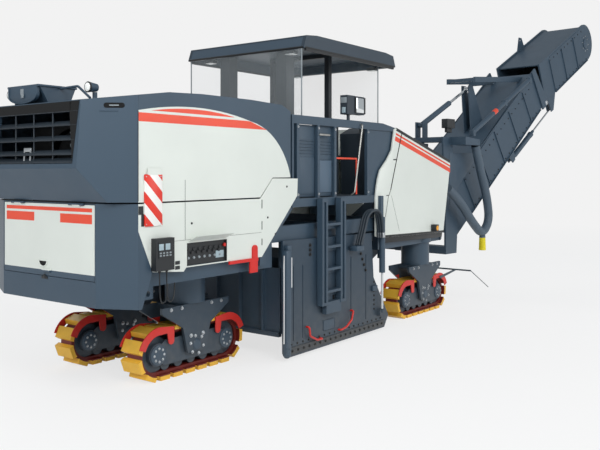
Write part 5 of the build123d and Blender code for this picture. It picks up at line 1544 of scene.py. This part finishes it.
@dataclass
class SidePlates:
    """Side plates of the drum: bolts, wear strip, rear post, brackets, red handles and bright rods."""

    outer: float = 1.214
    strip_y: float = 1.228
    # Corners of the two red handles in the plate's own plane
    bows: tuple[tuple[Flat, ...], ...] = (
        ((-4.68, 0.36), (-4.66, 0.24), (-4.50, 0.165), (-4.38, 0.16)),
        ((-3.93, 0.20), (-3.80, 0.22), (-3.66, 0.30), (-3.62, 0.42)),
    )

    def plate_trim(self, side: Side, node: str) -> None:
        """Add what one plate carries.

        Args:
            side: Side of the machine.
            node: CAD node of the plate.
        """
        s = side.value
        face = s * self.outer
        bolts = Workpiece()
        strip = s * self.strip_y
        bolts.row_of_bolts((-5.0, strip, 0.105), (-2.78, strip, 0.105), 19, side.way, 0.024)
        bolts.row_of_bolts((-5.0, face, 0.185), (-2.80, face, 0.185), 19, side.way, 0.018)
        for x in (-5.06, -2.98):
            bolts.row_of_bolts((x, face, 0.35), (x, face, 1.38 if x < -4 else 0.75), 7, side.way, 0.02)
        bolts.row_of_bolts((-4.60, face, 1.30), (-4.60, face, 1.42), 3, side.way, 0.03)
        bolts.row_of_bolts((-3.35, face, 1.20), (-3.22, face, 0.95), 4, side.way, 0.03)
        bolts.build(f"{node}_bolts", BLACK_PAINT, node)
        post = Workpiece()
        post.box((-5.20, -5.10), side.span(self.outer, 1.29), (0.12, 1.40))
        foot, shoe = s * 1.255, [(0.0, 0.03), (0.3, 0.052), (1.0, 0.052)]
        post.turned((-5.15, foot, 0.05), (-5.15, foot, 0.16), shoe, 24)
        post.box((-5.14, -5.06), side.span(self.outer, 1.262), (1.36, 1.46))
        post.build(f"{node}_rear_post", SLATE_PAINT, node, soften=0.006)
        rod = Workpiece()
        rod.turned((-5.215, s * 1.26, 0.24), (-5.215, s * 1.26, 1.34), [(0.0, 0.011), (1.0, 0.011)], 16)
        rod.turned((-5.03, s * 1.235, 0.92), (-5.03, s * 1.235, 1.30), [(0.0, 0.012), (1.0, 0.012)], 16)
        rod.build(f"{node}_bright_rods", CHROME, node)
        blocks = Workpiece()
        blocks.box((-4.31, -4.02), side.span(self.outer, 1.221), (0.50, 0.72))
        blocks.box((-4.30, -4.03), side.span(self.outer, 1.221), (0.24, 0.38))
        blocks.box((-3.06, -2.93), side.span(self.outer, 1.25), (0.62, 0.70))
        blocks.build(f"{node}_brackets", SLATE_PAINT, node, soften=0.008)
        # Near-black strips on the bracket's face: painted shadows
        bracket_shadows = Workpiece()
        for x in (-4.27, -4.06):
            bracket_shadows.box((x - 0.025, x + 0.025), side.span(1.2205, 1.2218), (0.53, 0.70))
        bracket_shadows.build(f"{node}_slots", SHADOW_GAP, node)
        handles = Workpiece()
        for bow in self.bows:
            path = [(bow[0], face), *((spot, s * 1.262) for spot in bow), (bow[-1], face)]
            handles.bar([(x, y, z) for (x, z), y in path], 0.014, 0.05)
        handles.build(f"{node}_red_handles", RED_PAINT, node)

    def build(self) -> None:
        """Dress the CAD nodes and add all the trim."""
        for side, node in ((Side.RIGHT, "side_plate_right"), (Side.LEFT, "side_plate_left")):
            rod = Band("#D5D8DA", (("across", 1.2565, 1.30), ("x", -2.863, -2.827), ("z", 0.34, 2.0)))
            strip = Band("#2B3239", (("across", 1.2145, 1.30), ("z", 0.055, 0.152)))
            # Deep slate paint, dusty from the cut, with the chrome of the float rod and the worn dark strip
            dress(Paint(f"paint_slate_plate_{side.label}", DEEP_SLATE, bands=(rod, strip), dust=0.3), node)
            self.plate_trim(side, node)
        dress(SLATE_PAINT, "float_barrels", "ladders", "drum_housing", "scraper", "frame_braces")
        dress(CAST_IRON, "milling_drum")


@dataclass
class TrackUnit:
    """One track unit: pads and chain, frame with red guards, bolts and hub discs."""

    name: str
    x: float
    y: float
    half_span: float = 0.5675
    axle_z: float = 0.3
    pads: int = 19
    loop_radius: float = 0.27
    guard_y: float = 0.164
    half_guard: float = 0.0062

    def build(self) -> None:
        """Dress the CAD nodes and add the trim."""
        belt, frame_node = f"track_belt_{self.name}", f"track_frame_{self.name}"
        # Cast polyurethane, amber yellow and earthy, on the red-brown chain
        pads = TrackPads(f"polyurethane_track_pads_{self.name}", "#F2BC3E", 0.5, dirt=0.12, centre_x=self.x)
        dress(pads, belt)
        guards = []
        for y in (self.y - self.guard_y, self.y + self.guard_y):
            lateral = ("y", y - self.half_guard, y + self.half_guard)
            for end in (-1, 1):
                far = sorted((self.x + end * 0.27, self.x + end * 0.95))
                guards.append(Band(SIGNAL_RED, (lateral, ("x", *far), ("z", 0.0, 0.66))))
        # Deep slate paint with much dust, and the guards at both ends in signal red
        paint = Paint(f"paint_slate_track_frame_{self.name}", DEEP_SLATE, bands=tuple(guards), dust=0.35)
        dress(paint, frame_node)
        dress(SLATE_PAINT, f"column_{self.name}")
        self.hubs(frame_node)
        self.pad_bolts(belt)

    def hubs(self, frame_node: str) -> None:
        """Add the discs of the wheels and of the pivot with their bolts.

        Args:
            frame_node: CAD node of the track frame.
        """
        hubs, bolts = Workpiece(), Workpiece()
        pivot_z = self.axle_z + 0.03
        for way, sign in ((Way.RIGHT, -1), (Way.LEFT, 1)):
            for end in (-1, 1):
                x = self.x + end * self.half_span
                seat, face = self.y + sign * 0.135, self.y + sign * 0.135 + sign * 0.02
                disc = [(0.0, 0.118), (0.6, 0.116), (1.0, 0.098)]
                hubs.turned((x, seat, self.axle_z), (x, face, self.axle_z), disc, 32)
                bolts.ring_of_bolts((x, face, self.axle_z), way, 0.075, 8, 0.018)
            face = self.y + sign * 0.193
            for x in (-0.42, -0.25, 0.25, 0.42):
                bolts.bolt((self.x + x, face, 0.795), way.value, 0.026)
            for x in (-0.1, 0.1):
                bolts.bolt((self.x + x, face, 0.45), way.value, 0.03)
            bolts.ring_of_bolts((self.x, face, pivot_z), way, 0.11, 6, 0.024)
            cap = (self.x, face + sign * 0.014, pivot_z)
            hubs.turned((self.x, face, pivot_z), cap, [(0.0, 0.07), (1.0, 0.055)], 28)
        hubs.build(f"track_hubs_{self.name}", SLATE_PAINT, frame_node)
        bolts.build(f"track_bolts_{self.name}", ZINC, frame_node)

    def pad_bolts(self, belt: str) -> None:
        """Add two bolts in each pad's face along the loop.

        Args:
            belt: CAD node of the track loop.
        """
        loop = 4 * self.half_span + 2 * pi * self.loop_radius
        bolts = Workpiece()
        for step in range(self.pads):
            place, out = self.on_loop((step + 0.5) * loop / self.pads)
            way = Vector((out[0], 0, out[1]))
            for offset in (-0.085, 0.085):
                seat = Vector((place[0], self.y + offset, place[1])) + way * 0.026
                bolts.turned(seat, seat + way * 0.004, [(0.0, 0.014), (1.0, 0.011)], 10)
        bolts.build(f"pad_bolts_{self.name}", WORN_STEEL, belt)

    def on_loop(self, distance: float) -> tuple[Flat, Flat]:
        """Point and outward direction on the loop.

        Args:
            distance: Way along the loop.

        Returns:
            Place and direction in the XZ plane.
        """
        radius, straight = self.loop_radius, 2 * self.half_span
        turn = pi * radius
        if distance < straight:
            return (self.x - self.half_span + distance, self.axle_z - radius), (0.0, -1.0)
        if straight + turn <= distance < 2 * straight + turn:
            back = distance - straight - turn
            return (self.x + self.half_span - back, self.axle_z + radius), (0.0, 1.0)
        if distance < straight + turn:
            wheel, angle = self.x + self.half_span, -pi / 2 + (distance - straight) / radius
        else:
            wheel, angle = self.x - self.half_span, pi / 2 + (distance - 2 * straight - turn) / radius
        return (wheel + radius * cos(angle), self.axle_z + radius * sin(angle)), (cos(angle), sin(angle))


@dataclass
class Conveyor:
    """Slewing frame and discharge conveyor: bolts, hinge caps, brace, cylinders, belts and suction duct."""

    slew_x: float = 0.85
    slew: float = radians(6.0)
    lower_slope: float = radians(36.0)
    upper_slope: float = radians(27.0)
    tail: Flat = (0.40, 1.11)
    lower_length: float = 4.95
    upper_length: float = 2.86
    wall: float = 0.55
    height: float = 0.93
    bolt_pitch: float = 0.19
    brace_y: float = -0.60

    def plane(self) -> Matrix:
        """Matrix of the slewed conveyor: local X forward, Y across, Z up."""
        turn = Matrix.Rotation(-self.slew, 4, "Z")
        return Matrix.Translation((self.slew_x, 0, 0)) @ turn

    def along(self, start: Flat, slope: float, distance: float, rise: float) -> Flat:
        """Point that lies a distance up a slope and a rise square to it.

        Args:
            start: Foot of the slope.
            slope: Angle of the slope.
            distance: Way up the slope.
            rise: Height square to it.

        Returns:
            The point in the conveyor's plane.
        """
        return (
            start[0] + distance * cos(slope) - rise * sin(slope),
            start[1] + distance * sin(slope) + rise * cos(slope),
        )

    def wall_trim(self, node: str, start: Flat, slope: float, spans: Flat, rows: Flat, seat: float) -> None:
        """Add bolt rows and an edge bar to the outside of a section's walls.

        Args:
            node: CAD node of the section.
            start: Foot of its slope.
            slope: Angle of its slope.
            spans: Start and end along it.
            rows: Heights of the two bolt rows.
            seat: Distance of the wall's face from the middle.
        """
        bolts, edges = Workpiece(self.plane()), Workpiece(self.plane())
        count = int((spans[1] - spans[0]) / self.bolt_pitch)
        for sign, way in ((-1, Way.RIGHT), (1, Way.LEFT)):
            for rise in (*rows, self.height - 0.05):
                ends = [self.along(start, slope, distance, rise) for distance in spans]
                first, last = ((x, sign * seat, z) for x, z in ends)
                if rise in rows:
                    bolts.row_of_bolts(first, last, count, way, 0.02)
                else:
                    edges.bar([first, last], 0.012)
        bolts.build(f"{node}_bolts", BLACK_PAINT, node)
        edges.build(f"{node}_edge_bars", SLATE_PAINT, node)

    def build(self) -> None:
        """Dress the CAD nodes and add all the trim."""
        fold = self.along(self.tail, self.lower_slope, self.lower_length, 0.0)
        dress(SLATE_PAINT, "slew_frame", "slew_mount", "lift_barrel", "fold_barrels")
        dress(SLATE_PAINT, "conveyor_lower", "conveyor_upper", "primary_conveyor")
        dress(BELT_RUBBER, "belt_lower", "belt_upper")
        dress(CHROME, "lift_rod", "fold_rods")
        lower, upper = (self.tail, self.lower_slope), (fold, self.upper_slope)
        self.wall_trim("conveyor_lower", *lower, (0.95, 4.4), (0.06, 0.70), self.wall)
        self.wall_trim("conveyor_upper", *upper, (0.70, 2.75), (0.06, 0.80), self.wall - 0.0005)
        self.pins(fold)
        self.brace()
        self.slew_trim()
        self.sleeves(fold)
        # Slate rubber duct with its yellow drain sleeve, dull and without a gloss coat
        sleeve = Band(SLEEVE_YELLOW, (("z", 0.0, 1.06), ("x", 1.60, 1.88)))
        duct = Paint("rubber_duct_slate_yellow_sleeve", "#4D5D6B", roughness=0.5, coat=0.0, bands=(sleeve,))
        dress(duct, "suction_hose")

    def pins(self, fold: Flat) -> None:
        """Add pin caps at the hinges and round the head pulley.

        Args:
            fold: Place of the fold hinge in the conveyor's plane.
        """
        caps, head_bolts, hinge_bolts = (Workpiece(self.plane()) for _ in range(3))
        x, z = self.along(fold, self.upper_slope, self.upper_length, 0.44)
        for sign, way in ((-1, Way.RIGHT), (1, Way.LEFT)):
            seat = sign * (self.wall - 0.0005)
            hub = [(0.0, 0.13), (0.7, 0.125), (1.0, 0.10)]
            caps.turned((x, seat, z), (x, seat + sign * 0.03, z), hub, 36)
            head_bolts.ring_of_bolts((x, seat + sign * 0.002, z), way, 0.19, 8, 0.022)
            outer = sign * (self.wall + 0.036)
            pin_end = (fold[0], outer + sign * 0.015, fold[1])
            hinge_bolts.turned((fold[0], outer, fold[1]), pin_end, [(0.0, 0.055), (1.0, 0.045)], 28)
        caps.build("head_pulley_hubs", SLATE_PAINT, "conveyor_upper")
        head_bolts.build("head_pulley_bolts", ZINC, "conveyor_upper")
        hinge_bolts.build("fold_hinge_caps", ZINC, "conveyor_lower")

    def sleeves(self, fold: Flat) -> None:
        """Add the sleeves of the fold cylinders.

        Args:
            fold: Place of the fold hinge in the conveyor's plane.
        """
        sleeves = Workpiece(self.plane())
        low = Vector(self.along(self.tail, self.lower_slope, 2.90, -0.19))
        high = Vector(self.along(fold, self.upper_slope, 0.33, -0.30))
        reach = (high - low).normalized()
        foot, top = low + reach * 0.063, low + reach * 1.12
        profile = [(0.0, 0.036), (0.08, 0.052), (0.12, 0.060), (0.93, 0.060), (0.94, 0.066), (1.0, 0.066)]
        for y in (-0.47, 0.47):
            sleeves.turned((foot.x, y, foot.y), (top.x, y, top.y), profile, 28)
        sleeves.build("fold_cylinder_sleeves", SLATE_PAINT, "fold_barrels")

    def brace(self) -> None:
        """Add the brace along the right wall's upper edge with its brackets and its red band."""
        brace, marks = Workpiece(self.plane()), Workpiece(self.plane())
        foot, middle, head = (0.95, 3.180), (2.30, 3.873), (3.459, 4.468)
        ends = [(spot[0], self.brace_y, spot[1]) for spot in (head, foot)]
        brace.turned(*ends, [(0.0, 0.05), (0.02, 0.05), (0.98, 0.05), (1.0, 0.04)], 24)
        for x, z in (foot, middle, head):
            brace.box((x - 0.045, x + 0.045), (-0.648, -self.wall + 0.002), (z - 0.07, z + 0.05))
        band = [(x, self.brace_y, z) for x, z in ((1.80, 3.616), (1.93, 3.683))]
        marks.turned(*band, [(0.0, 0.053), (1.0, 0.053)], 24)
        brace.build("conveyor_brace", SLATE_PAINT, "conveyor_lower", soften=0.004)
        marks.build("conveyor_brace_red_band", STRIPE_FILM, "conveyor_lower")

    def slew_trim(self) -> None:
        """Add the valve box and the cheek plates of the slewing frame."""
        boxes, cheeks = Workpiece(self.plane()), Workpiece(self.plane())
        boxes.box((0.00, 0.28), (-0.60, -0.46), (3.235, 3.415))
        boxes.box((0.05, 0.23), (-0.56, -0.50), (3.15, 3.24))
        cheek = [(0.070, 2.749), (1.005, 2.766), (0.985, 2.583), (0.329, 2.026), (0.070, 1.739)]
        for side in Side:
            cheeks.plate(cheek, side.span(0.590, 0.605))
        boxes.build("slew_valve_box", BLACK_PLASTIC, "slew_frame", soften=0.01)
        cheeks.build("slew_frame_cheeks", SLATE_PAINT, "slew_frame", soften=0.004)


@dataclass(frozen=True)
class Cord:
    """One hose or lead: a curve of round section.

    Args:
        name: Name of the piece.
        spots: Control points, the first where it leaves the machine.
        width: Diameter in metres.
        finish: Rubber or plastic.
        node: CAD node that carries it.
        far_end: What its other end is; not used.
        length: Real length in metres; not used.
        pieces: Pieces on its far end; not used.
    """

    name: str
    spots: tuple[Point, ...]
    width: float
    finish: Finish
    node: str
    far_end: str
    length: float
    pieces: Sequence[bpy.types.Object] = ()

    def build(self) -> None:
        curve = bpy.data.curves.new(self.name, "CURVE")
        curve.dimensions = "3D"
        curve.bevel_depth = self.width / 2
        curve.bevel_resolution = 5
        curve.resolution_u = 10
        run = curve.splines.new("NURBS")
        run.points.add(len(self.spots) - 1)
        for point, spot in zip(run.points, self.spots):
            point.co = (*spot, 1.0)
        run.order_u = 3
        run.use_endpoint_u = True
        curve.materials.append(STORE.get(self.finish))
        cord = bpy.data.objects.new(self.name, curve)
        bpy.context.scene.collection.objects.link(cord)
        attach(cord, body_of(self.node))


@dataclass
class Cordage:
    """The three float hoses over the right frame beam and the two leads below the dark box."""

    hose_width: float = 0.038
    hose_length: float = 1.1265
    hose_y: tuple[float, ...] = (-1.257, -1.297, -1.337)
    lead_width: float = 0.014
    lead_length: float = 0.5591
    lead_x: Flat = (-7.30, -7.20)

    def hoses(self) -> None:
        """Arch the float hoses from their block on the ladder to their fittings on the float cylinder."""
        # Hydraulic hose, extruded rubber over braid: dark slate with a dull sheen
        rubber = Moulded("rubber_hydraulic_hose", "#28343E", roughness=0.5)
        route = ((-3.53, 1.34), (-3.43, 1.56), (-3.33, 1.80), (-3.06, 1.84), (-2.945, 1.70), (-2.93, 1.48))
        block = Workpiece()
        block.box((-3.68, -3.49), (-1.362, -1.232), (1.27, 1.34))
        block.build("float_hose_bulkhead", SLATE_PAINT, "ladders", soften=0.006)
        for number, y in enumerate(self.hose_y, 1):
            fitting = Workpiece()
            fitting.box((-2.952, -2.886), (y - 0.018, y + 0.018), (1.41, 1.485))
            end = fitting.build(f"float_hose_fitting_{number}", ZINC, "float_barrels", soften=0.006)
            spots = tuple((x, y, z) for x, z in route)
            name, sizes = f"float_hose_{number}", (self.hose_width, rubber)
            Cord(name, spots, *sizes, "main_frame", "fitting", self.hose_length, [end]).build()

    def leads(self) -> None:
        """Hang the leads below the dark box."""
        # Extruded PVC of a control lead: near black and smooth
        cable = Moulded("pvc_control_lead", "#15181B", roughness=0.45)
        route = (
            (0.0, -1.268, 1.35),
            (0.0, -1.268, 1.16),
            (0.03, -1.262, 1.02),
            (0.13, -1.250, 1.06),
            (0.15, -1.228, 1.22),
        )
        for number, exit_x in enumerate(self.lead_x, 1):
            spots = tuple((exit_x + shift, y, z) for shift, y, z in route)
            name, sizes = f"dark_box_lead_{number}", (self.lead_width, cable)
            Cord(name, spots, *sizes, "control_boxes", "object", self.lead_length).build()

    def build(self) -> None:
        """Add all the cords."""
        self.hoses()
        self.leads()


@dataclass
class Frame:
    """Main frame with its column sleeves."""

    def build(self) -> None:
        """Dress the CAD nodes."""
        dress(SLATE_PAINT, "main_frame", "column_sleeves")


@dataclass
class Studio:
    """Plain pale floor, soft light and the photograph's camera."""

    backdrop: str = "#F2F2F2"
    eye: Point = (-12.65, -7.05, 2.39)
    heading: Point = (0.8018, 0.5976, 0.0)
    lens: float = 45.36
    shift: float = -0.0892
    floor_half: float = 400.0
    # Distances from the middle between which the floor turns from lit to plain
    fade: Flat = (9.0, 22.0)
    world_strength: float = 0.55
    lamps: tuple[tuple[str, Point, Point, float, float], ...] = (
        # name, place, aim, power in watts, size
        ("key", (-12.0, -15.0, 12.0), (-3.0, 0.0, 1.5), 1250.0, 7.0),
        ("rear", (-17.0, -3.0, 7.0), (-7.5, 0.0, 2.0), 420.0, 5.0),
        ("fill", (6.0, -16.0, 7.0), (0.0, 0.0, 2.0), 600.0, 9.0),
        ("back", (2.0, 14.0, 12.0), (0.0, 0.0, 2.0), 600.0, 9.0),
    )

    def floor(self) -> None:
        """Add the floor, seen at the backdrop's colour apart from the machine's shadow."""
        mesh = bpy.data.meshes.new("floor")
        size = self.floor_half
        corners = [(-size, -size, 0), (size, -size, 0), (size, size, 0), (-size, size, 0)]
        mesh.from_pydata(corners, [], [(0, 1, 2, 3)])
        material = bpy.data.materials.new("floor_plain_pale")
        material.use_nodes = True
        tree = material.node_tree
        tree.nodes.clear()
        pale = linear(self.backdrop)
        matt = add_node(tree, "ShaderNodeBsdfDiffuse", {"Color": pale})
        place = add_node(tree, "ShaderNodeTexCoord").outputs["Object"]
        reach = add_node(tree, "ShaderNodeVectorMath", {0: place}, operation="LENGTH").outputs["Value"]
        span = {0: reach, "From Min": self.fade[0], "From Max": self.fade[1]}
        lift = {**span, "To Min": 1.10, "To Max": 1.0}
        even = add_node(tree, "ShaderNodeEmission", {"Color": pale})
        tree.links.new(add_node(tree, "ShaderNodeMapRange", lift).outputs[0], even.inputs["Strength"])
        path = add_node(tree, "ShaderNodeLightPath")
        seen = {0: path.outputs["Is Camera Ray"], 1: path.outputs["Is Glossy Ray"]}
        viewed = add_node(tree, "ShaderNodeMath", seen, operation="MAXIMUM")
        ring = {**span, "To Min": 0.72, "To Max": 1.0}
        plain = add_node(tree, "ShaderNodeMapRange", ring)
        share = add_node(tree, "ShaderNodeMath", {0: viewed, 1: plain}, operation="MULTIPLY")
        mixed = add_node(tree, "ShaderNodeMixShader", {0: share, 1: matt, 2: even})
        add_node(tree, "ShaderNodeOutputMaterial", {0: mixed})
        mesh.materials.append(material)
        floor = bpy.data.objects.new("floor", mesh)
        bpy.context.scene.collection.objects.link(floor)

    def light(self) -> None:
        """Set an even world and four large soft lamps."""
        world = bpy.data.worlds.new("studio")
        bpy.context.scene.world = world
        world.use_nodes = True
        tree = world.node_tree
        tree.nodes.clear()
        path = add_node(tree, "ShaderNodeLightPath")
        seen = {0: path.outputs["Is Camera Ray"], 1: path.outputs["Is Transmission Ray"]}
        viewed = add_node(tree, "ShaderNodeMath", seen, operation="MAXIMUM")
        around = add_node(tree, "ShaderNodeBackground", {0: linear("#E9EEF2"), 1: self.world_strength})
        shown = add_node(tree, "ShaderNodeBackground", {0: linear(self.backdrop), 1: 1.0})
        mixed = add_node(tree, "ShaderNodeMixShader", {0: viewed, 1: around, 2: shown})
        add_node(tree, "ShaderNodeOutputWorld", {0: mixed})
        for name, place, aim, power, size in self.lamps:
            data = bpy.data.lights.new(name, "AREA")
            data.energy, data.size = power, size
            lamp = bpy.data.objects.new(name, data)
            lamp.location = place
            lamp.rotation_euler = (Vector(aim) - Vector(place)).to_track_quat("-Z", "Y").to_euler()
            bpy.context.scene.collection.objects.link(lamp)

    def camera(self) -> None:
        """Add the level camera of the photograph."""
        data = bpy.data.cameras.new("camera")
        data.lens, data.sensor_width = self.lens, 36.0
        data.shift_y = self.shift
        data.clip_end = 500.0
        camera = bpy.data.objects.new("camera", data)
        camera.location = self.eye
        camera.rotation_euler = Vector(self.heading).to_track_quat("-Z", "Y").to_euler()
        bpy.context.scene.collection.objects.link(camera)
        bpy.context.scene.camera = camera

    def build(self) -> None:
        """Add floor, light and camera."""
        bpy.context.scene.view_settings.view_transform = "Standard"
        self.floor()
        self.light()
        self.camera()


def main() -> None:
    """Build and dress every sub-assembly."""
    logging.basicConfig(level=logging.INFO, format="%(name)s %(message)s")
    units = (
        # name, x and y of the column
        ("rear_right", -6.15, -0.48),
        ("rear_left", -6.15, 0.74),
        ("front_right", -1.18, -0.94),
        ("front_left", -1.18, 0.94),
    )
    kinds = (Frame, Hood, Tail, SideTrim, Platform, Canopy, FrontBody, SidePlates, Conveyor, Cordage)
    tracks = [TrackUnit(name, x, y) for name, x, y in units]
    for assembly in [*(kind() for kind in kinds), *tracks, Studio()]:
        assembly.build()
        log.info("built %s", type(assembly).__name__)
    bare = [name for name, node in frame["nodes"].items() if not node.data.materials]
    if bare:
        raise ValueError(f"nodes without a finish: {bare}")


if __name__ == "__main__":
    main()
